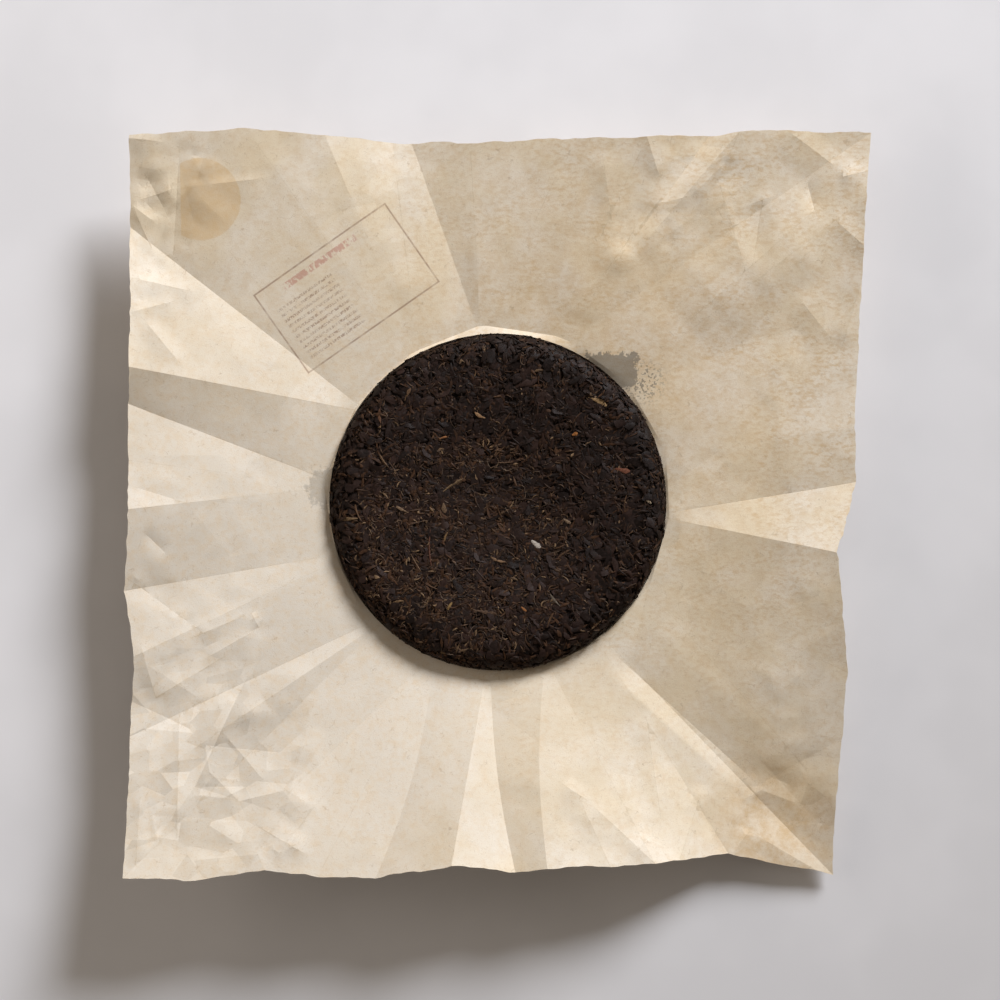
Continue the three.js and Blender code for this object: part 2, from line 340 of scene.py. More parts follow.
@dataclass(frozen=True)
class LeafFinish(Finish):
    """Dry pressed leaf: mottled along its length, with a dull shine, partly a painted highlight on the tops of its
    fine grain.
    """

    name: str
    dark: Colour
    light: Colour
    roughness: float = 0.5

    def dress(self, nodes: Nodes, shader: bpy.types.Node) -> None:
        """Fill in the shader's sockets.

        Args:
            nodes: the material's nodes.
            shader: the shader whose sockets are filled in.
        """
        place = nodes.add("ShaderNodeTexCoord").outputs["Object"]
        tone = nodes.add("ShaderNodeAttribute", attribute_name="tone").outputs["Fac"]
        mottle = nodes.noise(place, 900, 3)
        grain = nodes.noise(place, 4200, 2)
        # The tone attribute holds each leaf's own tone together with painted light, lighter on the cake's lower left.
        share = nodes.math("ADD", nodes.math("MULTIPLY", tone, 0.75), nodes.ramp(mottle, 0.35, 0.75, -0.12, 0.34))
        colour = nodes.mix(nodes.math("MULTIPLY", share, 1.0, clamp=True), self.dark, self.light)
        # Painted highlight: the colour is lightened where the fine grain, which also bumps the surface, stands
        # highest.
        painted_ridge_shine = nodes.ramp(grain, 0.62, 0.75, 0.0, 0.35)
        nodes.join(nodes.mix(painted_ridge_shine, colour, self.light), shader.inputs["Base Color"])
        shader.inputs["Specular IOR Level"].default_value = 0.16
        rough = nodes.ramp(mottle, 0.3, 0.7, self.roughness - 0.12, self.roughness + 0.15)
        nodes.join(rough, shader.inputs["Roughness"])
        bump = nodes.add("ShaderNodeBump", {"Height": grain, "Strength": 0.5, "Distance": 0.0003})
        nodes.join(bump.outputs[0], shader.inputs["Normal"])


@dataclass(frozen=True)
class PickedFinish(Finish):
    """Dry leaf or stem whose colour is its own."""

    name: str = "picked_leaf"

    def dress(self, nodes: Nodes, shader: bpy.types.Node) -> None:
        """Fill in the shader's sockets.

        Args:
            nodes: the material's nodes.
            shader: the shader whose sockets are filled in.
        """
        place = nodes.add("ShaderNodeTexCoord").outputs["Object"]
        tint = nodes.add("ShaderNodeAttribute", attribute_name="tint").outputs["Color"]
        mottle = nodes.noise(place, 1400, 3)
        darker = nodes.mix(1.0, tint, (0.35, 0.3, 0.28), "MULTIPLY")
        colour = nodes.mix(nodes.ramp(mottle, 0.42, 0.68, 0.0, 0.85), tint, darker)
        nodes.join(colour, shader.inputs["Base Color"])
        shader.inputs["Roughness"].default_value = 0.7
        shader.inputs["Specular IOR Level"].default_value = 0.2
        bump = nodes.add("ShaderNodeBump", {"Height": mottle, "Strength": 0.4, "Distance": 0.0003})
        nodes.join(bump.outputs[0], shader.inputs["Normal"])


@dataclass(frozen=True)
class CoreFinish(Finish):
    """Fine broken tea between the leaves, with painted shade that turns nearly black in the hollows of its crumbs."""

    name: str = "pressed_core"
    painted_hollow_shade: Colour = srgb(15, 8, 5)
    crumb: Colour = srgb(50, 30, 20)

    def dress(self, nodes: Nodes, shader: bpy.types.Node) -> None:
        """Fill in the shader's sockets.

        Args:
            nodes: the material's nodes.
            shader: the shader whose sockets are filled in.
        """
        place = nodes.add("ShaderNodeTexCoord").outputs["Object"]
        crumbs = nodes.noise(place, 1100, 4, 0.65)
        patches = nodes.noise(place, 160, 2)
        # Painted shade: where the crumb noise, which also sets the bump, is low, the colour goes nearly black.
        share = nodes.math("MULTIPLY", nodes.ramp(crumbs, 0.45, 0.7), nodes.ramp(patches, 0.3, 0.7, 0.4, 1.0))
        nodes.join(nodes.mix(share, self.painted_hollow_shade, self.crumb), shader.inputs["Base Color"])
        shader.inputs["Specular IOR Level"].default_value = 0.16
        nodes.join(nodes.ramp(crumbs, 0.4, 0.7, 0.85, 0.55), shader.inputs["Roughness"])
        bump = nodes.add("ShaderNodeBump", {"Height": crumbs, "Strength": 0.9, "Distance": 0.0012})
        nodes.join(bump.outputs[0], shader.inputs["Normal"])


@dataclass(frozen=True)
class PaperFinish(Finish):
    """Thin cream tissue with fibres, small crumples, tea stains and a print that shows through, and painted shade:
    greyer on the lower left, warmer round the ring fold and on one corner, darker along the creases.
    """

    name: str = "wrapper_paper"
    pale: Colour = srgb(227, 216, 198)
    deep: Colour = srgb(222, 206, 178)
    aged_and_shade_tan: Colour = srgb(206, 179, 140)
    fibre: Colour = srgb(164, 138, 104)
    grey: Colour = srgb(208, 199, 185)
    crease_wear_and_shade: Colour = srgb(166, 144, 108)
    ink: Colour = srgb(128, 92, 70)
    red_ink: Colour = srgb(176, 96, 84)
    tan: Colour = srgb(214, 186, 144)
    dust: Colour = srgb(112, 106, 96)
    patch_place: tuple[float, float] = (-170.8, 173.7)
    patch_radius: float = 23.4
    patch_fold: float = -182.0
    frame_place: tuple[float, float] = (-87.4, 123.4)
    frame_turn: float = 35.0
    frame_half: tuple[float, float] = (46.0, 27.0)
    smudge_place: tuple[float, float] = (66.0, 76.5)
    grey_place: tuple[float, float] = (-100.0, 8.0)

    def dress(self, nodes: Nodes, shader: bpy.types.Node) -> None:
        """Fill in the shader's sockets.

        Args:
            nodes: the material's nodes.
            shader: the shader whose sockets are filled in.
        """
        place = nodes.add("ShaderNodeTexCoord").outputs["Object"]
        cloud = nodes.noise(place, 22, 4, 0.6)
        mottle = nodes.noise(place, 170, 5, 0.7)
        fine = nodes.noise(place, 1500, 3, 0.6)
        colour = nodes.mix(nodes.ramp(cloud, 0.35, 0.65), self.pale, self.deep)
        # Painted shade: the colour turns greyer and darker towards the sheet's lower left, standing in for less light
        # falling there.
        painted_shade_lower_left = nodes.math("MULTIPLY", self.spot(nodes, place, -165, -80, 60, 290), 0.9)
        colour = nodes.mix(painted_shade_lower_left, colour, self.grey)
        colour = nodes.mix(nodes.ramp(mottle, 0.42, 0.72, 0.0, 0.36), colour, self.aged_and_shade_tan)
        # Painted shade with some ageing: warmer tan round the upper half of the ring fold and on the curled lower
        # right corner.
        colour = nodes.mix(self.ageing_and_painted_shade_share(nodes, place, mottle), colour, self.aged_and_shade_tan)
        colour = nodes.mix(nodes.ramp(fine, 0.55, 0.72, 0.0, 0.34), colour, self.fibre)
        colour = nodes.mix(self.weave(nodes, place), colour, self.aged_and_shade_tan)
        colour = nodes.mix(self.fibres(nodes, place), colour, self.fibre)
        # Crease lines are darkened, partly as wear and partly as painted shade along the folds.
        crease = nodes.add("ShaderNodeAttribute", attribute_name="crease").outputs["Fac"]
        uneven = nodes.ramp(mottle, 0.35, 0.6, 0.25, 1.0)
        crease_wear_and_shade = nodes.math("MULTIPLY", nodes.ramp(crease, 0.62, 0.85, 0.0, 0.7), uneven)
        colour = nodes.mix(crease_wear_and_shade, colour, self.crease_wear_and_shade)
        colour = nodes.mix(self.patch_share(nodes, place), colour, self.tan)
        colour = self.printed(nodes, place, colour)
        colour = nodes.mix(self.smudge_share(nodes, place), colour, self.dust)
        nodes.join(colour, shader.inputs["Base Color"])
        shader.inputs["Roughness"].default_value = 0.62
        shader.inputs["Specular IOR Level"].default_value = 0.5
        nodes.join(self.crumples(nodes, place, fine), shader.inputs["Normal"])

    def far(self, nodes: Nodes, place: object, centre: tuple[float, float]) -> object:
        """Give the distance from an upright line through a place on the sheet.

        Args:
            nodes: the material's nodes.
            place: where on the sheet.
            centre: the place that the line goes through.

        Returns:
            The distance in metres.
        """
        flat = nodes.vector("MULTIPLY", place, (1, 1, 0))
        middle = (centre[0] * MM, centre[1] * MM, 0)
        inputs = {0: flat, 1: middle}
        return nodes.add("ShaderNodeVectorMath", inputs, operation="DISTANCE").outputs["Value"]

    def spot(self, nodes: Nodes, place: object, x: float, y: float, inner: float, outer: float) -> object:
        """Give a share that is 1 within a distance of a place and fades to 0 at a further one."""
        return nodes.ramp(self.far(nodes, place, (x, y)), inner * MM, outer * MM, 1.0, 0.0)

    def ageing_and_painted_shade_share(self, nodes: Nodes, place: object, mottle: object) -> object:
        """Give the share of warm tan, partly ageing and partly painted shade: round the ring fold's upper half, where
        the wall and brim lie in shade, and on the curled corner.

        Args:
            nodes: the material's nodes.
            place: where on the sheet.
            mottle: the unevenness of the tissue.

        Returns:
            The share.
        """
        ring = nodes.math("MULTIPLY", self.spot(nodes, place, 55, 72, 30, 150), 0.55)
        corner = nodes.math("MULTIPLY", self.spot(nodes, place, 160, -188, 14, 55), 1.25)
        both = nodes.math("MAXIMUM", ring, corner)
        return nodes.math("MULTIPLY", both, nodes.ramp(mottle, 0.3, 0.75, 0.25, 0.8))

    def weave(self, nodes: Nodes, place: object) -> object:
        """Give the share of fine mottling in the tissue, strongest on the cake's upper right.

        Args:
            nodes: the material's nodes.
            place: where on the sheet.

        Returns:
            The share.
        """
        long = nodes.vector("MULTIPLY", place, (0.55, 1, 1))
        flecks = nodes.ramp(nodes.noise(long, 480, 4, 0.65), 0.42, 0.68)
        swell = nodes.ramp(nodes.noise(place, 40, 3), 0.3, 0.65, 0.35, 1.0)
        zone = nodes.ramp(self.far(nodes, place, (120, 90)), 0.06, 0.3, 0.85, 0.2)
        return nodes.math("MULTIPLY", nodes.math("MULTIPLY", flecks, swell), zone)

    def fibres(self, nodes: Nodes, place: object) -> object:
        """Give the share of long plant fibres in the tissue.

        Args:
            nodes: the material's nodes.
            place: where on the sheet.

        Returns:
            The share.
        """
        bent = nodes.add("ShaderNodeTexNoise", {"Vector": place, "Scale": 90, "Detail": 2}).outputs["Color"]
        scaled = nodes.vector("MULTIPLY", bent, (0.02, 0.02, 0))
        moved = nodes.vector("ADD", place, scaled)
        inputs = {"Vector": moved, "Scale": 210, "Randomness": 1}
        cells = nodes.add("ShaderNodeTexVoronoi", inputs, feature="DISTANCE_TO_EDGE").outputs["Distance"]
        line = nodes.ramp(cells, 0.0, 0.035, 0.4, 0.0)
        return nodes.math("MULTIPLY", line, nodes.ramp(nodes.noise(place, 260, 2), 0.52, 0.66))

    def printed(self, nodes: Nodes, place: object, colour: object) -> object:
        """Add the plain frame and the rows of marks that show through from the other side.

        Args:
            nodes: the material's nodes.
            place: where on the sheet.
            colour: the tissue's colour so far.

        Returns:
            The colour with the print in it.
        """
        shift = (-self.frame_place[0] * MM, -self.frame_place[1] * MM, 0)
        moved = nodes.vector("ADD", place, shift)
        turned = nodes.add("ShaderNodeVectorRotate", {"Vector": moved, "Angle": -math.radians(self.frame_turn)},
                           rotation_type="Z_AXIS").outputs[0]
        split = nodes.add("ShaderNodeSeparateXYZ", {0: turned})
        right, up = split.outputs["X"], split.outputs["Y"]
        over_x = nodes.math("SUBTRACT", nodes.math("ABSOLUTE", right), self.frame_half[0] * MM)
        over_y = nodes.math("SUBTRACT", nodes.math("ABSOLUTE", up), self.frame_half[1] * MM)
        outside = nodes.math("MAXIMUM", over_x, over_y)
        line = nodes.ramp(nodes.math("ABSOLUTE", outside), 0.00025, 0.0007, 0.62, 0.0)
        small = self.marks(nodes, turned, up, 0.0036, 1500)
        large = self.marks(nodes, turned, up, 0.0094, 560)
        body = nodes.math("MULTIPLY", nodes.ramp(right, -0.041, -0.039), nodes.ramp(right, -0.004, -0.001, 1.0, 0.0))
        body = nodes.math("MULTIPLY", body, nodes.ramp(up, 0.012, 0.0135, 1.0, 0.0))
        body = nodes.math("MULTIPLY", body, nodes.ramp(outside, -0.004, -0.003, 1.0, 0.0))
        head = nodes.math("MULTIPLY", nodes.ramp(right, -0.03, -0.028), nodes.ramp(right, 0.02, 0.022, 1.0, 0.0))
        head = nodes.math("MULTIPLY", head, nodes.math("MULTIPLY", nodes.ramp(up, 0.0145, 0.015),
                                                       nodes.ramp(up, 0.0228, 0.0232, 1.0, 0.0)))
        wear = nodes.ramp(nodes.noise(place, 150, 3), 0.3, 0.6, 0.45, 1.0)
        rows = nodes.math("MULTIPLY", nodes.math("MULTIPLY", small, body), 0.6)
        brown = nodes.math("MULTIPLY", nodes.math("MAXIMUM", line, rows), wear)
        colour = nodes.mix(brown, colour, self.ink)
        return nodes.mix(nodes.math("MULTIPLY", nodes.math("MULTIPLY", large, head), 0.5), colour, self.red_ink)

    def marks(self, nodes: Nodes, turned: object, up: object, spacing: float, pace: float) -> object:
        """Give rows of small uneven marks that are no letters.

        Args:
            nodes: the material's nodes.
            turned: the place in the frame's own directions.
            up: its upward part.
            spacing: distance between rows.
            pace: fineness of the marks.

        Returns:
            The share of the marks.
        """
        rows = nodes.math("SINE", nodes.math("MULTIPLY", up, 2 * math.pi / spacing))
        wide = nodes.vector("MULTIPLY", turned, (1, 0.45, 1))
        broken = nodes.ramp(nodes.noise(wide, pace, 2), 0.43, 0.56)
        return nodes.math("MULTIPLY", nodes.ramp(rows, -0.1, 0.5), broken)

    def patch_share(self, nodes: Nodes, place: object) -> object:
        """Give the share of the round tan patch, which a fold cuts off on one side.

        Args:
            nodes: the material's nodes.
            place: where on the sheet.

        Returns:
            The share.
        """
        far = self.far(nodes, place, self.patch_place)
        ragged = nodes.math("ADD", far, nodes.math("MULTIPLY", nodes.noise(place, 420, 2), 0.0008))
        edge = self.patch_radius * MM + 0.0004
        disc = nodes.ramp(ragged, edge - 0.0007, edge + 0.0003, 1.0, 0.0)
        side = nodes.add("ShaderNodeSeparateXYZ", {0: place}).outputs["X"]
        kept = nodes.ramp(side, (self.patch_fold - 0.3) * MM, (self.patch_fold + 0.3) * MM)
        cloud = nodes.ramp(nodes.noise(place, 260, 4), 0.3, 0.7, 0.5, 0.85)
        return nodes.math("MULTIPLY", nodes.math("MULTIPLY", disc, kept), cloud)

    def smudge_share(self, nodes: Nodes, place: object) -> object:
        """Give the share of grey tea dust beside the cake.

        Args:
            nodes: the material's nodes.
            place: where on the sheet.

        Returns:
            The share: thick in one plain-edged spot with specks beside it, and faint in another.
        """
        cloud = nodes.noise(place, 300, 5, 0.7)
        split = nodes.add("ShaderNodeSeparateXYZ", {0: place})
        outside = None
        for axis, middle, half in (("X", self.smudge_place[0], 14.0), ("Y", self.smudge_place[1], 9.5)):
            away = nodes.math("ABSOLUTE", nodes.math("SUBTRACT", split.outputs[axis], middle * MM))
            away = nodes.math("SUBTRACT", away, half * MM)
            outside = away if outside is None else nodes.math("MAXIMUM", outside, away)
        ragged = nodes.math("ADD", outside, nodes.math("MULTIPLY", nodes.math("SUBTRACT", cloud, 0.5), 0.016))
        share = nodes.ramp(ragged, 0.0, 0.0009, 0.72, 0.0)
        specks = nodes.ramp(nodes.noise(place, 620, 2), 0.53, 0.59, 0.0, 0.7)
        near = self.spot(nodes, place, self.smudge_place[0] + 18, self.smudge_place[1] - 7, 5, 17)
        share = nodes.math("MAXIMUM", share, nodes.math("MULTIPLY", specks, near))
        spread = nodes.math("SUBTRACT", nodes.math("MULTIPLY", cloud, 0.026), self.far(nodes, place, self.grey_place))
        return nodes.math("MAXIMUM", share, nodes.ramp(spread, 0.0, 0.0045, 0.0, 0.4))

    def crumples(self, nodes: Nodes, place: object, fine: object) -> object:
        """Give the normal of flat-sided crumples over the tissue's grain.

        Args:
            nodes: the material's nodes.
            place: where on the sheet.
            fine: the height of the tissue's grain.

        Returns:
            The normal.
        """
        zone = self.crumpled_zone(nodes, place)
        normal = nodes.add("ShaderNodeNewGeometry").outputs["Normal"]
        for pace, tilt, turn, stretch in ((20, 0.075, 35, 0.45), (46, 0.09, 105, 0.5), (105, 0.08, 70, 0.6)):
            inputs = {"Vector": place, "Angle": math.radians(turn)}
            turned = nodes.add("ShaderNodeVectorRotate", inputs, rotation_type="Z_AXIS").outputs[0]
            along = nodes.vector("MULTIPLY", turned, (1, stretch, 1))
            inputs = {"Vector": along, "Scale": pace, "Randomness": 1}
            cell = nodes.add("ShaderNodeTexVoronoi", inputs, voronoi_dimensions="2D")
            lean = nodes.vector("SUBTRACT", cell.outputs["Color"], (0.5, 0.5, 0.5))
            node = nodes.add("ShaderNodeVectorMath", {0: lean}, operation="SCALE")
            nodes.join(nodes.math("MULTIPLY", zone, 2 * tilt), node.inputs["Scale"])
            normal = nodes.vector("ADD", normal, node.outputs[0])
        normal = nodes.add("ShaderNodeVectorMath", {0: normal}, operation="NORMALIZE").outputs[0]
        inputs = {"Height": fine, "Strength": 0.3, "Distance": 0.0003, "Normal": normal}
        return nodes.add("ShaderNodeBump", inputs).outputs[0]

    def crumpled_zone(self, nodes: Nodes, place: object) -> object:
        """Give how crumpled the tissue is: most of all in one corner and along the edges.

        Args:
            nodes: the material's nodes.
            place: where on the sheet.

        Returns:
            The share.
        """
        share = nodes.ramp(nodes.noise(place, 14, 2), 0.35, 0.7, 0.06, 0.34)
        for x, y, inner, outer, depth in ((-178, -150, 35, 95, 1.3), (170, -170, 15, 60, 0.6),
                                          (-200, 185, 10, 60, 0.6), (120, 185, 15, 75, 0.5)):
            part = nodes.math("MULTIPLY", self.spot(nodes, place, x, y, inner, outer), depth)
            share = nodes.math("MAXIMUM", share, part)
        return share


@dataclass(frozen=True)
class FloorFinish(Finish):
    """Plain pale board under the wrapper, with a faint unevenness."""

    name: str = "floor_board"
    colour: Colour = srgb(222, 221, 223)

    def dress(self, nodes: Nodes, shader: bpy.types.Node) -> None:
        """Fill in the shader's sockets.

        Args:
            nodes: the material's nodes.
            shader: the shader whose sockets are filled in.
        """
        place = nodes.add("ShaderNodeTexCoord").outputs["Object"]
        cloud = nodes.noise(place, 9, 3)
        darker = tuple(part * 0.94 for part in self.colour)
        colour = nodes.mix(nodes.ramp(cloud, 0.35, 0.65), self.colour, darker)
        nodes.join(colour, shader.inputs["Base Color"])
        shader.inputs["Roughness"].default_value = 0.9


@dataclass(frozen=True)
class CakeForm:
    """Outer form of the pressed disc, from its back round to its flat face."""

    radius: float = 96.8
    thickness: float = 23.6
    waist: float = 12.0
    foot_radius: float = 74.0
    crest_radius: float = 82.0
    hollow: float = 5.0
    roundness: float = 2.6
    wear: float = 0.9
    base: float = 0.9

    @property
    def shoulder_arc(self) -> float:
        """Length of the curve from the crest to the waist."""
        return self.quarter(self.radius - self.crest_radius, self.thickness - self.waist)

    @property
    def under_arc(self) -> float:
        """Length of the curve from the waist to the flat face."""
        return self.quarter(self.radius - self.foot_radius, self.waist)

    @property
    def back_arc(self) -> float:
        """Distance along the back from its middle to the waist."""
        return self.crest_radius + self.shoulder_arc

    @staticmethod
    def quarter(width: float, height: float) -> float:
        """Give about the length of a quarter of an oval."""
        return math.pi / 2 * math.hypot(width, height) / math.sqrt(2)

    def surface(self, u: Array, v: Array) -> Array:
        """Find points of the skin from places on the skin laid out flat.

        Args:
            u, v: places, in millimetres from the middle of the back.

        Returns:
            One row of x, y and z for each place.
        """
        power = 2 / self.roundness
        arc = np.hypot(u, v)
        angle = np.arctan2(v, u)
        bowl = self.thickness - self.hollow * 0.5 * (1 + np.cos(np.pi * np.minimum(arc / self.crest_radius, 1)))
        over = np.clip((arc - self.crest_radius) / self.shoulder_arc, 0, 1) * np.pi / 2
        under = np.clip((arc - self.back_arc) / self.under_arc, 0, 1) * np.pi / 2
        shoulder_r = self.crest_radius + (self.radius - self.crest_radius) * np.sin(over) ** power
        shoulder_z = self.waist + (self.thickness - self.waist) * np.abs(np.cos(over)) ** power
        below_r = self.foot_radius + (self.radius - self.foot_radius) * np.abs(np.cos(under)) ** power
        below_z = self.waist * (1 - np.sin(under) ** power)
        radius = np.where(arc < self.crest_radius, arc, np.where(arc < self.back_arc, shoulder_r, below_r))
        height = np.where(arc < self.crest_radius, bowl, np.where(arc < self.back_arc, shoulder_z, below_z))
        past = arc - self.back_arc - self.under_arc
        radius = np.where(past > 0, np.maximum(self.foot_radius - past, 0), radius)
        crease_wear_and_shade = self.wear * (0.5 + 0.3 * np.sin(7 * angle + 1) + 0.2 * np.sin(16 * angle + 2))
        radius = radius - crease_wear_and_shade * (radius / self.radius) ** 4
        return np.stack([radius * np.cos(angle), radius * np.sin(angle), self.base + height], axis=-1)

    def frames(self, u: Array, v: Array) -> tuple[Array, Array]:
        """Find points of the skin and the directions that point out of it.

        Args:
            u, v: places on the skin laid out flat.

        Returns:
            The points, and a unit row for each one.
        """
        step = 0.4
        across = self.surface(u + step, v) - self.surface(u - step, v)
        along = self.surface(u, v + step) - self.surface(u, v - step)
        normal = np.cross(across, along)
        normal /= np.maximum(np.linalg.norm(normal, axis=-1, keepdims=True), 1e-9)
        return self.surface(u, v), normal


class LeafKind(Enum):
    """Kinds of leaf and stem that the cake is pressed from."""

    DARK = "dark_leaf"
    BROWN = "brown_leaf"
    FLAKE = "broad_flake"
    STEM = "leaf_stem"
    BUD = "golden_bud"
    SHRED = "fine_shred"
    THREAD = "pale_thread"


@dataclass(frozen=True)
class LeafBatch:
    """How many leaves of a kind there are, and the ranges that each one is drawn from."""

    kind: LeafKind
    count: int
    length: tuple[float, float]
    width: tuple[float, float]
    thickness: tuple[float, float]
    lift: tuple[float, float]
    twist: float
    roll: float
    bend: float
    tilt: float
    finish: LeafFinish
    seed: int
    gathered: float = 0.0


LEAF_BATCHES = (
    LeafBatch(LeafKind.DARK, 4700, (3.5, 10), (1.0, 2.6), (0.5, 1.1), (-0.7, 0.25), 0.8, 0.35, 0.35, 0.04,
              LeafFinish("dark_leaf", srgb(19, 10, 6), srgb(44, 26, 16), 0.62), 11),
    LeafBatch(LeafKind.BROWN, 4300, (3, 9), (0.8, 2.2), (0.4, 0.9), (-0.6, 0.3), 1.0, 0.45, 0.4, 0.05,
              LeafFinish("brown_leaf", srgb(27, 15, 8), srgb(71, 47, 29), 0.64), 12, 0.2),
    LeafBatch(LeafKind.FLAKE, 1700, (5, 12), (2.8, 6.2), (0.4, 0.7), (-0.5, 0.25), 0.4, 0.25, 0.25, 0.04,
              LeafFinish("broad_flake", srgb(20, 12, 9), srgb(48, 32, 26), 0.5), 13),
    LeafBatch(LeafKind.STEM, 150, (5, 14), (0.6, 1.1), (0.6, 0.9), (-0.2, 0.5), 0.1, 0.2, 0.2, 0.03,
              LeafFinish("leaf_stem", srgb(44, 29, 20), srgb(92, 68, 48), 0.6), 14),
    LeafBatch(LeafKind.BUD, 420, (2, 5.5), (0.6, 1.3), (0.5, 0.8), (-0.2, 0.4), 0.8, 0.5, 0.5, 0.05,
              LeafFinish("golden_bud", srgb(58, 42, 29), srgb(136, 110, 82), 0.6), 15, 0.55),
    LeafBatch(LeafKind.SHRED, 4700, (1.5, 4.5), (0.4, 1.1), (0.3, 0.7), (-0.4, 0.5), 1.2, 0.9, 0.4, 0.1,
              LeafFinish("fine_shred", srgb(22, 12, 7), srgb(90, 68, 50), 0.5), 16, 0.2),
    LeafBatch(LeafKind.THREAD, 420, (4, 12), (0.22, 0.42), (0.3, 0.4), (0.1, 0.5), 0.4, 0.4, 0.9, 0.03,
              LeafFinish("pale_thread", srgb(46, 34, 27), srgb(116, 97, 80), 0.5), 17, 0.5),
)


@dataclass(frozen=True)
class Sprig:
    """One leaf or stem that stands out from the rest by its colour or size."""

    place: tuple[float, float]
    length: float
    width: float
    heading: float
    bend: float
    colour: Colour
    lift: float = 0.45


SPRIGS = (
    Sprig((22.0, -24.3), 6.6, 2.9, 142, 0.05, srgb(176, 168, 158), 0.6),
    Sprig((57.2, 57.8), 11.5, 1.9, 150, -0.3, srgb(138, 112, 78)),
    Sprig((-10.4, 50.3), 7.0, 1.8, 150, 0.3, srgb(130, 100, 70)),
    Sprig((44.5, 39.3), 3.4, 2.2, 20, 0.0, srgb(150, 98, 52)),
    Sprig((72.2, 18.5), 8.5, 3.0, 170, 0.1, srgb(112, 70, 52)),
    Sprig((-26.0, 9.8), 14.0, 1.4, 33, 0.12, srgb(104, 84, 60)),
    Sprig((-38.7, -27.0), 22.0, 1.1, 92, 0.2, srgb(88, 56, 42)),
    Sprig((-47.3, -35.2), 12.0, 0.9, 120, 0.1, srgb(96, 74, 54)),
    Sprig((79.1, -41.0), 6.5, 1.6, 5, 0.2, srgb(122, 96, 68)),
    Sprig((-84.8, -9.8), 8.0, 1.8, 5, 0.1, srgb(116, 94, 68)),
    Sprig((85.4, 0.6), 4.4, 1.5, 140, 0.0, srgb(142, 126, 104)),
    Sprig((-31.2, 37.0), 5.5, 1.3, 12, 0.3, srgb(128, 84, 48)),
    Sprig((32.9, -56.6), 9.0, 1.5, 130, 0.15, srgb(94, 84, 72)),
    Sprig((15.0, -61.8), 4.0, 1.5, 140, 0.1, srgb(140, 92, 52)),
    Sprig((-27.7, -60.1), 5.0, 1.6, 60, 0.2, srgb(128, 102, 62)),
    Sprig((-6.4, -63.6), 12.0, 2.2, 170, 0.1, srgb(82, 62, 46)),
    Sprig((-66.0, 24.0), 9.0, 1.3, 125, 0.2, srgb(94, 72, 50)),
    Sprig((-58.0, -58.0), 7.0, 1.6, 15, 0.3, srgb(108, 84, 58)),
    Sprig((-30.0, -20.0), 6.0, 1.4, 70, 0.3, srgb(104, 80, 52)),
    Sprig((10.0, 12.0), 6.0, 1.2, 110, 0.2, srgb(84, 62, 46)),
    Sprig((38.0, -30.0), 8.0, 1.2, 35, 0.2, srgb(88, 66, 48)),
    Sprig((-52.0, 62.0), 7.5, 1.3, 60, 0.2, srgb(92, 68, 46)),
    Sprig((24.0, 76.0), 6.0, 1.5, 10, 0.2, srgb(92, 72, 52)),
    Sprig((56.0, -70.0), 7.0, 1.5, 40, 0.1, srgb(98, 76, 54)),
    Sprig((-18.0, -84.0), 8.0, 1.6, 5, 0.1, srgb(90, 70, 50)),
    Sprig((-55.5, -3.9), 9.0, 1.4, 150, 0.2, srgb(112, 90, 68)),
    Sprig((0.0, -33.0), 9.0, 1.6, 160, 0.4, srgb(118, 92, 68)),
    Sprig((40.0, -11.0), 5.0, 1.8, 150, 0.1, srgb(120, 100, 80)),
    Sprig((-31.0, -3.5), 6.0, 2.6, 100, 0.1, srgb(96, 76, 56)),
    Sprig((-67.0, 50.0), 9.0, 1.2, 80, 0.2, srgb(96, 66, 46)),
    Sprig((-90.0, -36.0), 5.0, 2.0, 110, 0.0, srgb(58, 42, 34), 0.9),
    Sprig((-38.0, -90.5), 12.0, 4.4, 170, 0.0, srgb(54, 40, 40), 0.7),
)


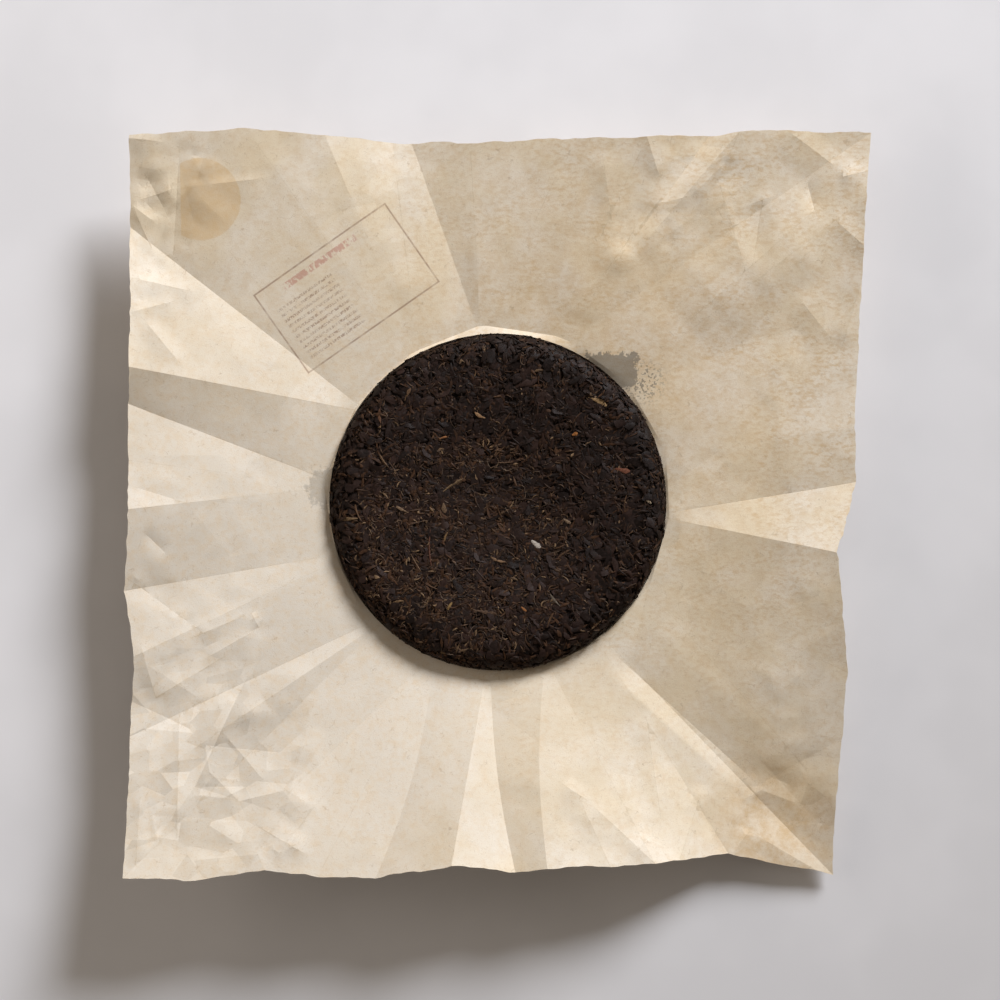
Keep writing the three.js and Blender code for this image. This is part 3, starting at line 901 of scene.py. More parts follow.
@dataclass
class TeaCake:
    """The pressed disc: a dark core and thousands of leaves laid over it."""

    form: CakeForm = field(default_factory=CakeForm)
    core_depth: float = 1.0
    core_segments: int = 240
    core_rings: int = 150
    leaf_steps: int = 4
    leaf_sides: int = 4
    tip: float = 0.3
    spread_past_waist: float = 6.0
    rim_reach: float = 97.3
    free_reach: float = 99.3
    over_wall: float = 15.8
    loose_share: float = 0.3
    gathering: tuple[tuple[float, float], float] = ((-20.0, -26.0), 0.58)

    def build(self) -> list[bpy.types.Object]:
        """Make the core and every batch of leaves.

        Returns:
            The finished pieces.
        """
        pieces = [self.core()]
        template, faces = self.leaf_template()
        for batch in LEAF_BATCHES:
            pieces.append(self.leaves(batch, template, faces))
        pieces.append(self.sprigs(template, faces))
        return pieces

    def core(self) -> bpy.types.Object:
        """Make the closed core, a little smaller than the cake and lumpy.

        Returns:
            The core's object.
        """
        Mesher.deselect()
        bpy.ops.mesh.primitive_uv_sphere_add(
            segments=self.core_segments, ring_count=self.core_rings, radius=1, location=(0, 0, 0))
        piece = Mesher.take("cake_core")
        unit = Mesher.points(piece) * MM
        polar = np.arccos(np.clip(unit[:, 2], -1, 1)) / np.pi
        angle = np.arctan2(unit[:, 1], unit[:, 0])
        whole = self.form.back_arc + self.form.under_arc + self.form.foot_radius
        arc = polar * whole
        u, v = arc * np.cos(angle), arc * np.sin(angle)
        points, normals = self.form.frames(u, v)
        flat = arc > self.form.back_arc + self.form.under_arc - 1
        x, y = points[:, 0], points[:, 1]
        lumps = 0.3 * waves(x, y, 16, 3) + 0.25 * waves(x, y, 7, 4) + 0.2 * waves(x, y, 2.8, 5)
        shift = np.where(flat, 0, lumps - self.core_depth)
        poles = (polar < 1e-4) | (polar > 1 - 1e-4)
        points = points + np.where(poles, 0, shift)[:, None] * np.where(poles[:, None], (0, 0, 1), normals)
        points[:, 2] = np.maximum(points[:, 2], self.form.base)
        Mesher.place(piece, points)
        Mesher.edit(piece, (bpy.ops.mesh.normals_make_consistent, {"inside": False}))
        Mesher.smooth(piece, 60)
        piece.data.materials.append(CoreFinish().make())
        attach(piece, "root")
        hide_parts("tea_cake")
        return piece

    def leaf_template(self) -> tuple[Array, Array]:
        """Model one plain leaf of unit size, as a straight strip along X cut across into steps.

        Returns:
            Its points, and its faces as triangles.
        """
        Mesher.deselect()
        bpy.ops.mesh.primitive_cylinder_add(
            vertices=self.leaf_sides, radius=0.5, depth=1, end_fill_type="TRIFAN", location=(0, 0, 0))
        piece = Mesher.take("leaf_template")
        cuts = self.leaf_steps - 1
        steps = []
        for cut in range(cuts):
            height = (cut + 1) / self.leaf_steps - 0.5
            steps.append((bpy.ops.mesh.select_all, {"action": "SELECT"}))
            steps.append((bpy.ops.mesh.bisect, {"plane_co": (0, 0, height), "plane_no": (0, 0, 1)}))
        steps.append((bpy.ops.mesh.select_all, {"action": "SELECT"}))
        steps.append((bpy.ops.mesh.quads_convert_to_tris, {}))
        Mesher.edit(piece, *steps)
        points = Mesher.points(piece) * MM
        strip = np.stack([points[:, 2], points[:, 0], points[:, 1]], axis=1)
        faces = np.empty(len(piece.data.polygons) * 3, dtype=np.int32)
        piece.data.polygons.foreach_get("vertices", faces)
        bpy.data.objects.remove(piece)
        return strip, faces.reshape(-1, 3)

    def leaves(self, batch: LeafBatch, template: Array, faces: Array) -> bpy.types.Object:
        """Copy, bend and press the leaves of one kind into the back.

        Args:
            batch: the kind of leaf, with its ranges.
            template: points of the plain leaf.
            faces: its triangles.

        Returns:
            One object with all leaves of the kind.
        """
        rng = np.random.default_rng(batch.seed)
        count = batch.count
        reach = self.form.back_arc + self.spread_past_waist
        u, v = self.places(rng, count, reach, batch.gathered)
        arc = np.hypot(u, v)
        shape = {name: rng.uniform(*getattr(batch, name), count) for name in ("width", "thickness", "lift")}
        shape["length"] = batch.length[0] + (batch.length[1] - batch.length[0]) * rng.random(count) ** 1.8
        rim = arc > self.form.crest_radius
        shape["length"] = np.where(rim, np.minimum(shape["length"], 5.5), shape["length"])
        loose = rim & (arc < self.form.back_arc - 2) & (rng.random(count) < self.loose_share)
        shape["lift"] = np.where(loose, rng.uniform(0.4, 1.7, count), shape["lift"])
        shape["heading"] = rng.uniform(0, 2 * np.pi, count)
        for name in ("bend", "twist", "roll", "tilt"):
            shape[name] = rng.normal(0, getattr(batch, name), count)
        shape["phase"] = rng.uniform(0, 2 * np.pi, count)
        points = self.press(u, v, shape, template)
        piece = self.join(batch.kind.value, points, faces)
        tone = piece.data.attributes.new("tone", "FLOAT", "POINT")
        # Each leaf's tone is random, with broad patches, plus painted light: leaves grow lighter towards the cake's
        # lower left and darker towards its upper right.
        painted_light_and_patches = -0.14 * (u + v) / self.form.radius + 0.16 * waves(u, v, 30, 71) + 0.1 * waves(u, v, 12, 72)
        leaf_tone_and_painted_light = np.clip(rng.random(count) ** 1.4 + painted_light_and_patches, 0, 1)
        tone.data.foreach_set("value", np.repeat(leaf_tone_and_painted_light, len(template)).astype(np.float32))
        piece.data.materials.append(batch.finish.make())
        return piece

    def places(self, rng: np.random.Generator, count: int, reach: float, gathered: float) -> tuple[Array, Array]:
        """Scatter places over the back.

        Args:
            rng: where random numbers come from.
            count: how many places.
            reach: distance from the middle that they stay within.
            gathered: share of them drawn towards the cake's lower left.

        Returns:
            The places on the back laid out flat.
        """
        arc = reach * np.sqrt(rng.random(count))
        angle = rng.uniform(0, 2 * np.pi, count)
        u, v = arc * np.cos(angle), arc * np.sin(angle)
        drawn = rng.random(count) < gathered
        (middle_u, middle_v), spread = self.gathering
        return np.where(drawn, middle_u + spread * u, u), np.where(drawn, middle_v + spread * v, v)

    def sprigs(self, template: Array, faces: Array) -> bpy.types.Object:
        """Lay the few leaves and stems that stand out on the others.

        Args:
            template: points of the plain leaf.
            faces: its triangles.

        Returns:
            One object with all of them.
        """
        count = len(SPRIGS)
        rng = np.random.default_rng(41)
        shape = {name: np.array([getattr(sprig, name) for sprig in SPRIGS])
                 for name in ("length", "width", "bend", "lift")}
        shape["heading"] = np.radians([sprig.heading for sprig in SPRIGS])
        shape["thickness"] = np.full(count, 0.7)
        shape["twist"] = rng.normal(0, 0.3, count)
        shape["roll"] = rng.normal(0, 0.15, count)
        shape["tilt"] = np.zeros(count)
        shape["phase"] = rng.uniform(0, 2 * np.pi, count)
        place = np.array([sprig.place for sprig in SPRIGS])
        points = self.press(place[:, 0], place[:, 1], shape, template)
        piece = self.join("picked_leaves", points, faces)
        tint = piece.data.attributes.new("tint", "FLOAT_COLOR", "POINT")
        colours = np.array([(*sprig.colour, 1) for sprig in SPRIGS], dtype=np.float32)
        tint.data.foreach_set("color", np.repeat(colours, len(template), axis=0).ravel())
        piece.data.materials.append(PickedFinish().make())
        return piece

    def press(self, u: Array, v: Array, shape: dict[str, Array], template: Array) -> Array:
        """Bend copies of the plain leaf and lay them on the back.

        Args:
            u, v: where the middle of each leaf is, on the back laid out flat.
            shape: numbers for each leaf by name.
            template: points of the plain leaf.

        Returns:
            The points of all leaves, one row for each leaf.
        """
        part = {name: values[:, None] for name, values in shape.items()}
        x, y, z = (template[:, axis][None, :] for axis in range(3))
        taper = self.tip + (1 - self.tip) * np.sqrt(np.clip(1 - (2 * x) ** 2, 0, 1))
        uneven = 1 + 0.25 * np.sin(7 * x + part["phase"])
        along = x * part["length"]
        across = y * part["width"] * taper * uneven
        above = z * part["thickness"] * taper
        turn = part["twist"] * x + part["roll"]
        side = across * np.cos(turn) - above * np.sin(turn)
        side = side + part["bend"] * part["length"] * (0.25 - x ** 2)
        rise = across * np.sin(turn) * 0.6 + above * np.cos(turn)
        rise = rise + part["lift"] + part["tilt"] * along + 0.15 * np.sin(9 * x + part["phase"] * 2)
        cos, sin = np.cos(part["heading"]), np.sin(part["heading"])
        flat_u = u[:, None] + along * cos - side * sin
        flat_v = v[:, None] + along * sin + side * cos
        points, normals = self.form.frames(flat_u, flat_v)
        points = points + normals * np.clip(rise, -2.5, 1.9)[..., None]
        far = np.hypot(points[..., 0], points[..., 1])
        reach = np.where(points[..., 2] > self.over_wall, self.free_reach, self.rim_reach)
        points[..., :2] *= np.minimum(1, reach / np.maximum(far, 1))[..., None]
        return points

    @staticmethod
    def join(name: str, points: Array, faces: Array) -> bpy.types.Object:
        """Join leaves into one object.

        Args:
            name: the piece's name.
            points: the points of all leaves, one row for each leaf.
            faces: triangles of the plain leaf.

        Returns:
            The new object.
        """
        count, size = points.shape[:2]
        numbers = faces[None, :, :] + (np.arange(count) * size)[:, None, None]
        piece = Mesher.build(name, points.reshape(-1, 3), numbers.reshape(-1, 3))
        Mesher.smooth(piece, 50)
        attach(piece, "root")
        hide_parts("tea_cake")
        return piece


@dataclass(frozen=True)
class Crease:
    """A fold from the ring round the cake to the sheet's edge.

    ring is the corner of the ring fold that it starts at, and side the place among the
    creases of that corner. edge is where it ends, rise its height over the sheet's mean
    slope there, start the share of its length after which it shows, and bow its sideways curve.
    """

    ring: int
    side: float
    edge: tuple[float, float]
    rise: float
    start: float = 0.0
    bow: float = 0.0


@dataclass(frozen=True)
class Fold:
    """A short fold in the opened sheet: a ridge, or a valley where its height is negative."""

    start: tuple[float, float]
    end: tuple[float, float]
    height: float
    left: float
    right: float
    open_end: bool = False

    def where(self, x: Array, y: Array) -> tuple[Array, Array]:
        """Find places on the fold's own line.

        Args:
            x, y: places on the sheet.

        Returns:
            The share of the fold's length at each place, and how far to its left the place is.
        """
        (start_x, start_y), (end_x, end_y) = self.start, self.end
        span = math.dist(self.start, self.end)
        along_x, along_y = (end_x - start_x) / span, (end_y - start_y) / span
        run = ((x - start_x) * along_x + (y - start_y) * along_y) / span
        return run, (y - start_y) * along_x - (x - start_x) * along_y


@dataclass(frozen=True)
class Zone:
    """A part of the sheet with many short folds in random directions."""

    low: tuple[float, float]
    high: tuple[float, float]
    count: int
    length: tuple[float, float]
    height: tuple[float, float]
    seed: int

    def folds(self) -> list[Fold]:
        """Draw the folds.

        Returns:
            The folds, the same ones every time.
        """
        rng = np.random.default_rng(self.seed)
        folds = []
        for _ in range(self.count):
            middle = rng.uniform(self.low, self.high)
            turn = rng.uniform(0, math.pi)
            reach = rng.uniform(*self.length) / 2
            step = np.array([math.cos(turn), math.sin(turn)]) * reach
            height = rng.uniform(*self.height) * rng.choice((-0.6, 1.0))
            wide = rng.uniform(0.3, 0.9, 2) * reach + 3.5
            folds.append(Fold(tuple(middle - step), tuple(middle + step), height, *wide))
        return folds


@dataclass
class Wrapper:
    """The opened square sheet, folded round the cake's edge and creased outward from there."""

    form: CakeForm = field(default_factory=CakeForm)
    thickness: float = 0.3
    wall_top: float = 15.4
    low_wall_top: float = 13.2
    high_wall: tuple[float, float] = (55.0, 205.0)
    crease_reach: float = 0.03
    main_wear_and_shade: float = 0.72
    torn: float = 1.5
    wall_lean: float = 0.3
    ring_height: float = 14.0
    edge_clearance: float = 0.6
    pleat_angle: float = 2.0
    column_width: float = 3.6
    brim_rows: int = 64
    under_rows: int = 6
    wall_rows: int = 3
    edge_heights: tuple[float, ...] = (30, 37, 31, 41, 40, 53, 50, 8)
    ring_corners: tuple[tuple[float, float], ...] = (
        (17, 101.5), (43, 101.5), (70, 102), (94.8, 102.5), (120, 99.5),
        (146.2, 98.9), (173.4, 101), (199, 98.9), (224.1, 103.5), (248, 105),
        (266.6, 103), (286.6, 99.5), (306.7, 99.2), (331.2, 100), (355.5, 99.5),
    )
    creases: tuple[Crease, ...] = (
        Crease(0, -1, (206, 43), -3, 0.6), Crease(0, 1, (207.5, 68), -4.5, 0.6),
        Crease(1, -1, (209, 114), -3), Crease(1, 1, (211.5, 175), 1.5),
        Crease(2, -4, (214, 212), 1, 0.3), Crease(2, -3, (178, 213.5), 0, 0.5),
        Crease(2, -2, (139, 213.5), 0, 0.5), Crease(2, -1, (122, 211), -6.5, 0.4),
        Crease(2, 1, (86, 210.5), 2, 0.5), Crease(3, -1, (44, 210), 0, 0.35),
        Crease(3, 1, (-16, 207.5), -2.5, 0.2), Crease(3, 2, (-50, 208), -8.5),
        Crease(4, -2, (-61, 207.5), -8, 0.3), Crease(4, -1, (-99.5, 211), 0, 0.2),
        Crease(4, 1, (-145, 214.5), 2.5), Crease(5, -2, (-211, 210), 3, 0.4),
        Crease(5, -1, (-212, 158.5), -7.5), Crease(5, 1, (-211, 77.5), 3.5),
        Crease(6, -1, (-212.5, 56.5), -4.5), Crease(6, 1, (-212, 24), -2, 0.5),
        Crease(6, 2, (-212, -4), 3), Crease(7, -1, (-214.5, -51), -6),
        Crease(7, 1, (-208.5, -88.5), -5), Crease(8, -1, (-211, -134.5), -11.5),
        Crease(8, 1, (-211.5, -166.5), -6, 0.3), Crease(8, 2, (-213.5, -214), 1, 0.3),
        Crease(9, -3, (-172, -216), 1, 0.4), Crease(9, -2, (-133, -210), -2.5, 0.3),
        Crease(9, -1, (-103, -214), -1, 0.3), Crease(9, 1, (-70, -215), -5, 0, 5),
        Crease(10, -1, (-26.5, -207), 7), Crease(10, 1, (10, -212.5), -6.5, 0, -3),
        Crease(11, -1, (28.5, -210), 1.5, 0, -4), Crease(11, 1, (90.5, -208), 6.5),
        Crease(12, -1, (134, -204.5), -1), Crease(12, 1, (195, -217), -2.5),
        Crease(13, -1, (196.5, -174.5), 5.5), Crease(13, 1, (202.5, -98.5), 7.5, 0.2),
        Crease(14, -1, (195.5, -29), 6), Crease(14, 1, (207.5, 11.5), -5),
    )
    folds: tuple[Fold, ...] = (
        Fold((-131, 186), (-183, 180), 0.6, 12, 4),
        Fold((-182, 205), (-187, 138), -0.8, 9, 5),
        Fold((-212, 129), (-175, 121), 1, 8, 10),
        Fold((-204, 106), (-180, 77), 0.9, 7, 8),
        Fold((-209, 172), (-184, 180), 0.9, 8, 6),
        Fold((-193, 206), (-212, 208), 1, 9, 7, True),
        Fold((-202, 188), (-188, 162), -0.9, 8, 8),
        Fold((-211, 171), (-196, 160), 0.9, 6, 6),
        Fold((-209, 169), (-198, 143), 0.9, 7, 7),
        Fold((-212, 108), (-184, 116), 0.9, 6, 8),
        Fold((88, 171), (111, 176), 0.9, 16, 6),
        Fold((111, 176), (131, 195), 0.9, 15, 6),
        Fold((86, 171), (72, 146), -0.9, 12, 10),
        Fold((131, 195), (139, 213), 1, 9, 7, True),
        Fold((128, 181), (142, 135), 0.9, 12, 14),
        Fold((152, 173), (147, 138), -0.9, 9, 12),
        Fold((166, 213), (189, 196), 1.2, 9, 15, True),
        Fold((196, 186), (213, 190), 0.9, 7, 7, True),
        Fold((178, 183), (182, 168), -0.9, 7, 6),
        Fold((192, 163), (210, 147), 0.9, 8, 9, True),
        Fold((172, 119), (194, 91), 1, 14, 12),
        Fold((198, 89), (208, 124), 1.2, 10, 9, True),
        Fold((93, 187), (86, 208), 0.9, 8, 6, True),
        Fold((37, -162), (51, -171), 0.9, 6, 8),
        Fold((47, -171), (66, -212), 0.9, 10, 10, True),
        Fold((51, -171), (91, -208), 1.4, 12, 12, True),
        Fold((86, -124), (94, -182), 0.9, 14, 10),
        Fold((119, -166), (105, -205), 1.2, 10, 9, True),
        Fold((146, -191), (190, -217), 1.3, 14, 9, True),
        Fold((146, -191), (139, -200), 0.9, 6, 8, True),
        Fold((142, -160), (152, -172), 0.6, 7, 9),
        Fold((152, -167), (176, -176), 0.7, 7, 9),
        Fold((155, -158), (172, -165), -0.5, 8, 8),
        Fold((168, -142), (180, -158), -0.4, 10, 10),
        Fold((-204, -166), (-206, -205), 0.9, 7, 6),
        Fold((-183, -114), (-183, -190), 1.2, 10, 9),
        Fold((-158, -132), (-133, -161), 1.2, 9, 10),
        Fold((-139, -184), (-109, -201), 1.3, 10, 9),
        Fold((-212, -44), (-168, -76), -1.2, 16, 10),
        Fold((-176, -78), (-142, -64), 1.1, 10, 8),
        Fold((-142, -64), (-138, -72), 0.9, 6, 7),
        Fold((-168, -90), (-140, -74), 1, 8, 7),
        Fold((-205, -80), (-196, -112), 0.9, 8, 6),
        Fold((-196, -112), (-156, -88), 1, 10, 8),
        Fold((-212, 10), (-180, 0), -0.7, 8, 9),
        Fold((112, 106), (181, 167), 2.6, 42, 32),
        Fold((40, 104), (93, 174), 1.1, 26, 24),
        Fold((60, 200), (66, 160), 0.9, 16, 10),
        Fold((-203, -17), (-190, -30), -0.9, 6, 6),
        Fold((64, -85), (149, -162), -2.2, 26, 10),
    )
    zones: tuple[Zone, ...] = (
        Zone((-208, -206), (-110, -105), 70, (9, 36), (0.25, 0.6), 51),
        Zone((-208, -105), (-140, -40), 22, (10, 30), (0.2, 0.5), 52),
        Zone((-208, 130), (-165, 208), 16, (9, 26), (0.2, 0.6), 53),
        Zone((60, 125), (206, 208), 22, (12, 40), (0.2, 0.6), 54),
        Zone((120, -208), (195, -140), 20, (9, 28), (0.15, 0.4), 55),
        Zone((-205, -40), (-130, 130), 18, (12, 40), (0.15, 0.5), 56),
        Zone((0, -206), (120, -150), 14, (12, 36), (0.2, 0.5), 57),
        Zone((150, -140), (200, 110), 16, (12, 40), (0.15, 0.5), 58),
    )

    def build(self) -> bpy.types.Object:
        """Make the creased sheet.

        Returns:
            The finished sheet.
        """
        columns = self.columns()
        rows = self.rows(columns)
        Mesher.deselect()
        bpy.ops.mesh.primitive_grid_add(
            x_subdivisions=len(columns), y_subdivisions=len(rows) - 1, size=2, location=(0, 0, 0))
        piece = Mesher.take("creased_wrapper")
        unit = Mesher.points(piece) * MM
        column = np.rint((unit[:, 0] + 1) / 2 * len(columns)).astype(int) % len(columns)
        row = np.rint((unit[:, 1] + 1) / 2 * (len(rows) - 1)).astype(int)
        table = np.array(rows)
        Mesher.place(piece, table[row, column])
        Mesher.edit(piece, (bpy.ops.mesh.remove_doubles, {"threshold": 0.02 * MM}),
                    (bpy.ops.mesh.normals_make_consistent, {"inside": False}))
        self.cut_folds(piece)
        points = Mesher.points(piece)
        points[:, 2] += self.relief(points[:, 0], points[:, 1])
        Mesher.place(piece, points)
        self.mark_creases(piece)
        self.thicken(piece)
        Mesher.smooth(piece, 8)
        piece.data.materials.append(PaperFinish().make())
        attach(piece, "root")
        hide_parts("paper_wrapper")
        return piece

    def thicken(self, piece: bpy.types.Object) -> None:
        """Give the sheet its thickness below its upper face.

        Args:
            piece: the sheet.
        """
        Mesher.pick(piece)
        if piece.data.polygons[0].normal.z < 0:
            Mesher.edit(piece, (bpy.ops.mesh.flip_normals, {}))
        wall = piece.modifiers.new("thickness", "SOLIDIFY")
        wall.thickness = self.thickness * MM
        wall.offset = -1
        bpy.ops.object.modifier_apply(modifier=wall.name)

    def cut_folds(self, piece: bpy.types.Object) -> None:
        """Cut an edge into the sheet along the top of each short fold.

        Args:
            piece: the sheet.
        """
        for fold in self.all_folds():
            start, end = np.array(fold.start), np.array(fold.end)
            middle, half = (start + end) / 2, np.linalg.norm(end - start) / 2 + 3
            along = (end - start) / np.linalg.norm(end - start)
            aside = np.array([-along[1], along[0]])
            mesh = piece.data
            centres = np.empty(len(mesh.polygons) * 3, dtype=np.float32)
            mesh.polygons.foreach_get("center", centres)
            flat = centres.reshape(-1, 3)[:, :2] / MM - middle
            near = (np.abs(flat @ along) < half) & (np.abs(flat @ aside) < 6)
            mesh.polygons.foreach_set("select", near)
            mesh.vertices.foreach_set("select", np.zeros(len(mesh.vertices), dtype=bool))
            mesh.edges.foreach_set("select", np.zeros(len(mesh.edges), dtype=bool))
            Mesher.pick(piece)
            bpy.ops.object.mode_set(mode="EDIT")
            bpy.ops.mesh.select_mode(type="FACE")
            bpy.ops.mesh.bisect(plane_co=(*(middle * MM), 0), plane_no=(*aside, 0))
            bpy.ops.object.mode_set(mode="OBJECT")

    def ring_point(self, crease: Crease) -> Array:
        """Find where a crease starts on the ring fold.

        Args:
            crease: the crease.

        Returns:
            Its x and y.
        """
        angle, radius = self.ring_corners[crease.ring]
        turn = math.radians(angle + crease.side * self.pleat_angle / 2)
        return np.array([radius * math.cos(turn), radius * math.sin(turn)])

    def edge_height(self, place: tuple[float, float]) -> float:
        """Find the mean height of the sheet's edge in a direction.

        Args:
            place: a place in that direction.

        Returns:
            The height.
        """
        eighths = math.atan2(place[1], place[0]) / (2 * math.pi) % 1 * len(self.edge_heights)
        first = int(eighths)
        share = eighths - first
        share = share * share * (3 - 2 * share)
        after = self.edge_heights[(first + 1) % len(self.edge_heights)]
        return self.edge_heights[first] * (1 - share) + after * share

    def crease_height(self, crease: Crease, share: float) -> float:
        """Find a crease's height at a share of its way from the ring fold to the edge."""
        mean = self.ring_height + (self.edge_height(crease.edge) - self.ring_height) * share
        return mean + crease.rise * max(0.0, (share - crease.start) / (1 - crease.start))

    def columns(self) -> list[tuple[Crease, Crease, float]]:
        """List the sheet's columns.

        Returns:
            For each column the crease before it, the crease after it, and its share between them.
        """
        columns = []
        for index, crease in enumerate(self.creases):
            after = self.creases[(index + 1) % len(self.creases)]
            span = math.dist(crease.edge, after.edge)
            count = max(3, round(span / self.column_width))
            columns += [(crease, after, k / count) for k in range(count)]
        return columns

    def rows(self, columns: list[tuple[Crease, Crease, float]]) -> list[Array]:
        """Work out the sheet's upper face.

        Args:
            columns: the sheet's columns.

        Returns:
            For each row from the middle outward, the points of its columns.
        """
        blend = np.array([share for _, _, share in columns])[:, None]
        first_ring = np.array([self.ring_point(crease) for crease, _, _ in columns])
        second_ring = np.array([self.ring_point(after) for _, after, _ in columns])
        ring = first_ring * (1 - blend) + second_ring * blend
        first_edge = np.array([crease.edge for crease, _, _ in columns])
        second_edge = np.array([after.edge for _, after, _ in columns])
        edge = first_edge * (1 - blend) + second_edge * blend
        bow = np.array([crease.bow * (1 - share) + after.bow * share for crease, after, share in columns])
        outward = ring / np.linalg.norm(ring, axis=1, keepdims=True)
        sideways = np.stack([-outward[:, 1], outward[:, 0]], axis=1)
        torn = 0.5 * self.torn * (1 + np.clip(0.6 * waves(*edge.T, 34, 61) + 0.5 * waves(*edge.T, 9, 62), -1, 1))
        power = 2 / self.form.roundness
        rows = []
        for share in (0.0, 0.35, 0.7):
            flat = outward * self.form.foot_radius * share
            rows.append(np.column_stack([flat, np.full(len(columns), self.thickness)]))
        width = self.form.radius + self.edge_clearance - self.form.foot_radius
        for turn in np.radians(np.linspace(90, 24, self.under_rows)):
            radius = self.form.foot_radius + width * max(0.0, math.cos(turn)) ** power
            height = self.thickness + self.form.waist * (1 - math.sin(turn) ** power)
            rows.append(np.column_stack([outward * radius, np.full(len(columns), height)]))
        wall = outward * (self.form.foot_radius + width + self.wall_lean)
        angle = np.degrees(np.arctan2(ring[:, 1], ring[:, 0]))
        low, high = self.high_wall
        turned = np.mod(angle - (low + high) / 2 + 180, 360) - 180
        share = smooth(0, 25, (high - low) / 2 - np.abs(turned))
        crest = self.low_wall_top + (self.wall_top - self.low_wall_top) * share
        for flat, height in ((wall, crest), (ring, np.full(len(columns), self.ring_height))):
            under = rows[-1]
            top = np.column_stack([flat, height])
            for step in range(1, self.wall_rows + 1):
                rows.append(under + (top - under) * step / self.wall_rows)
        for step in range(1, self.brim_rows + 1):
            way = step / self.brim_rows
            heights = [
                self.crease_height(crease, way) * (1 - share) + self.crease_height(after, way) * share
                for crease, after, share in columns]
            flat = ring + (edge - ring) * way + sideways * (bow * math.sin(math.pi * way))[:, None]
            flat = flat - outward * (torn * way ** 12)[:, None]
            rows.append(np.column_stack([flat, heights]))
        return rows

    def mark_creases(self, piece: bpy.types.Object) -> None:
        """Give each point on the top of a fold the share to which the tissue is darkened there, partly as wear and
        partly as painted shade along the crease.

        Args:
            piece: the sheet.
        """
        points = Mesher.points(piece)
        crease_wear_and_shade = np.zeros(len(points))
        lines = [(fold, min(0.75, 0.64 + abs(fold.height) * 0.12)) for fold in self.all_folds()]
        for crease in self.creases:
            ring, edge = self.ring_point(crease), np.array(crease.edge)
            lines.append((Fold(tuple(ring + (edge - ring) * crease.start), crease.edge, 0, 1, 1), self.main_wear_and_shade))
        for fold, amount in lines:
            run, aside = fold.where(points[:, 0], points[:, 1])
            on = (np.abs(aside) < self.crease_reach) & (run > -0.02) & (run < 1.02)
            crease_wear_and_shade = np.maximum(crease_wear_and_shade, on * amount)
        crease = piece.data.attributes.new("crease", "FLOAT", "POINT")
        crease.data.foreach_set("value", crease_wear_and_shade.astype(np.float32))

    def all_folds(self) -> list[Fold]:
        """List the short folds, those of the crumpled zones too."""
        return [*self.folds, *(small for zone in self.zones for small in zone.folds())]

    def relief(self, x: Array, y: Array) -> Array:
        """Work out the short folds, crumples and swells of the opened part of the sheet.

        Args:
            x, y: places on the sheet.

        Returns:
            Heights over the plain creased sheet.
        """
        out = np.hypot(x, y)
        height = np.zeros_like(x)
        for fold in self.all_folds():
            height += self.fold_height(fold, x, y)
        height += 0.25 * waves(x, y, 70, 31) + 0.05 * waves(x, y, 20, 32)
        return height * smooth(106, 124, out)

    @staticmethod
    def fold_height(fold: Fold, x: Array, y: Array) -> Array:
        """Work out the height of one short fold.

        Args:
            fold: the fold.
            x, y: places on the sheet.

        Returns:
            Its height at each place.
        """
        run, aside = fold.where(x, y)
        wide = np.where(aside > 0, fold.left, fold.right)
        tent = np.clip(1 - np.abs(aside) / wide, 0, 1)
        fade = np.clip(run / 0.25 + 0.2, 0, 1)
        if not fold.open_end:
            fade = fade * np.clip((1 - run) / 0.25 + 0.2, 0, 1)
        return fold.height * tent * fade


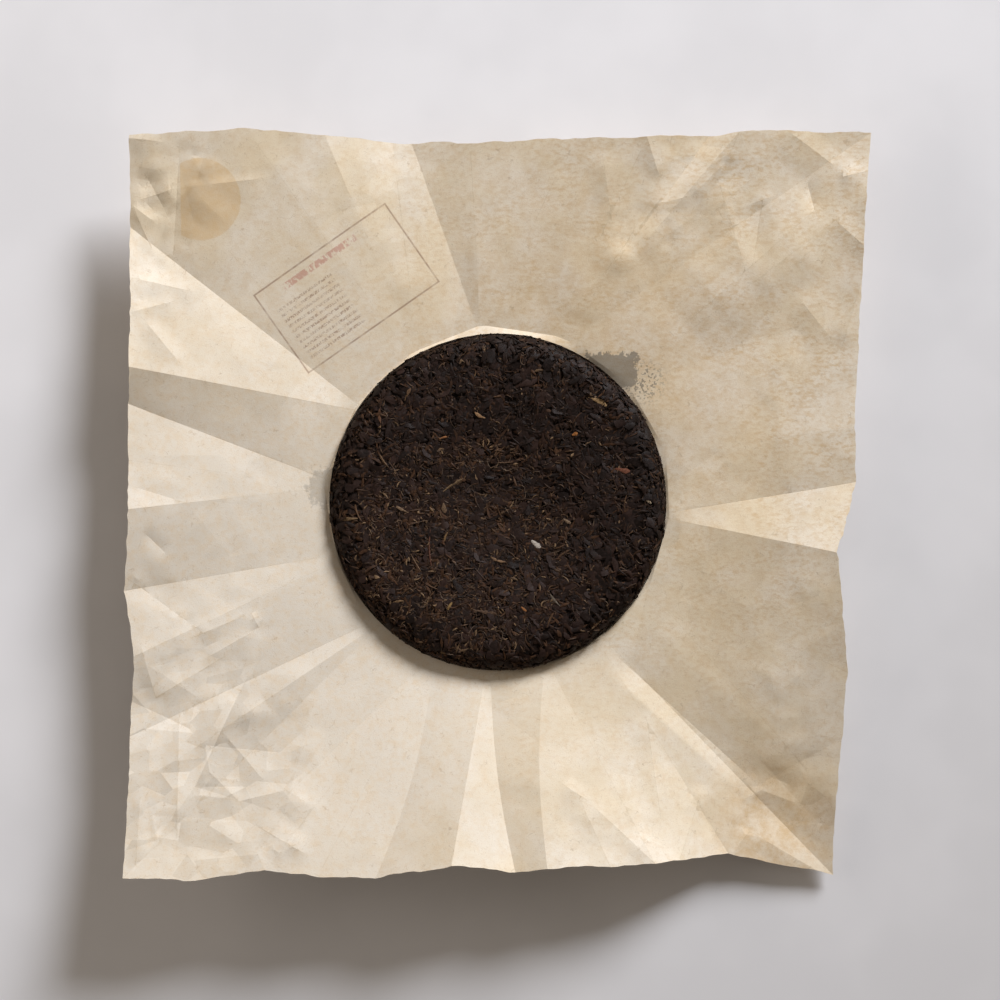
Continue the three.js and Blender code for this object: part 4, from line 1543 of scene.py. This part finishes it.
@dataclass
class Studio:
    """Camera straight above, as in the photograph, a low key light and a pale floor."""

    camera_height: float = 2.0
    frame_width: float = 0.584
    aim: tuple[float, float] = (0.0012, 0.0012)
    key_turn: float = 59.0
    key_rise: float = 29.0
    key_far: float = 3.3
    key_size: float = 1.3
    key_power: float = 20.1
    key_spread: float = 61.0
    key_aim: tuple[float, float] = (-0.38, 0.07)
    key_colour: Colour = (1.0, 1.02, 1.07)
    sky_colour: Colour = (1.0, 0.87, 0.73)
    sky_strength: float = 0.215
    fill_place: tuple[float, float, float] = (-1.6, 0.35, 0.75)
    fill_size: float = 1.0
    fill_power: float = 5.4
    fill_colour: Colour = (1.0, 0.9, 0.8)

    def build(self) -> None:
        """Set up the camera, the lights and the floor."""
        self.camera()
        self.key()
        self.fill()
        self.sky()
        self.floor()

    def camera(self) -> None:
        """Place the camera over the cake, with +Y up in the picture."""
        data = bpy.data.cameras.new("camera")
        data.sensor_width = 36
        data.lens = data.sensor_width * self.camera_height / self.frame_width
        data.clip_end = 20
        camera = bpy.data.objects.new("camera", data)
        camera.location = (*self.aim, self.camera_height)
        bpy.context.scene.collection.objects.link(camera)
        bpy.context.scene.camera = camera

    def lamp(self, name: str, place: Vector, aim: tuple[float, float], size: float) -> bpy.types.AreaLight:
        """Place a soft disk of light.

        Args:
            name: the light's name.
            place: where it is, in metres.
            aim: the place on the table that it looks at.
            size: its diameter.

        Returns:
            The light's settings.
        """
        data = bpy.data.lights.new(name, "AREA")
        data.shape = "DISK"
        data.size = size
        light = bpy.data.objects.new(name, data)
        light.location = place
        light.rotation_euler = (Vector((*aim, 0)) - place).to_track_quat("-Z", "Y").to_euler()
        bpy.context.scene.collection.objects.link(light)
        return data

    def key(self) -> None:
        """Place the key light, aimed a little beside the cake."""
        turn, rise = math.radians(self.key_turn), math.radians(self.key_rise)
        way = Vector((math.cos(rise) * math.cos(turn), math.cos(rise) * math.sin(turn), math.sin(rise)))
        data = self.lamp("key", way * self.key_far, self.key_aim, self.key_size)
        data.spread = math.radians(self.key_spread)
        data.energy = self.key_power
        data.color = self.key_colour

    def fill(self) -> None:
        """Place a weak warm light low on the left."""
        data = self.lamp("fill", Vector(self.fill_place), self.aim, self.fill_size)
        data.energy = self.fill_power
        data.color = self.fill_colour

    def sky(self) -> None:
        """Light the scene evenly from all round."""
        world = bpy.data.worlds.new("studio")
        bpy.context.scene.world = world
        world.use_nodes = True
        background = world.node_tree.nodes["Background"]
        background.inputs["Color"].default_value = (*self.sky_colour, 1)
        background.inputs["Strength"].default_value = self.sky_strength

    def floor(self) -> None:
        """Lay the floor."""
        Mesher.deselect()
        bpy.ops.mesh.primitive_plane_add(size=6, location=(0, 0, 0))
        floor = Mesher.take("studio_floor")
        floor.data.materials.append(FloorFinish().make())


def main() -> None:
    """Build the studio, the wrapper and the cake."""
    bpy.context.scene.view_settings.view_transform = "Standard"
    Studio().build()
    sheet = Wrapper().build()
    log.info("%s has %d faces", sheet.name, len(sheet.data.polygons))
    for piece in TeaCake().build():
        log.info("%s has %d faces", piece.name, len(piece.data.polygons))


if __name__ == "__main__":
    logging.basicConfig(level=logging.INFO)
    main()
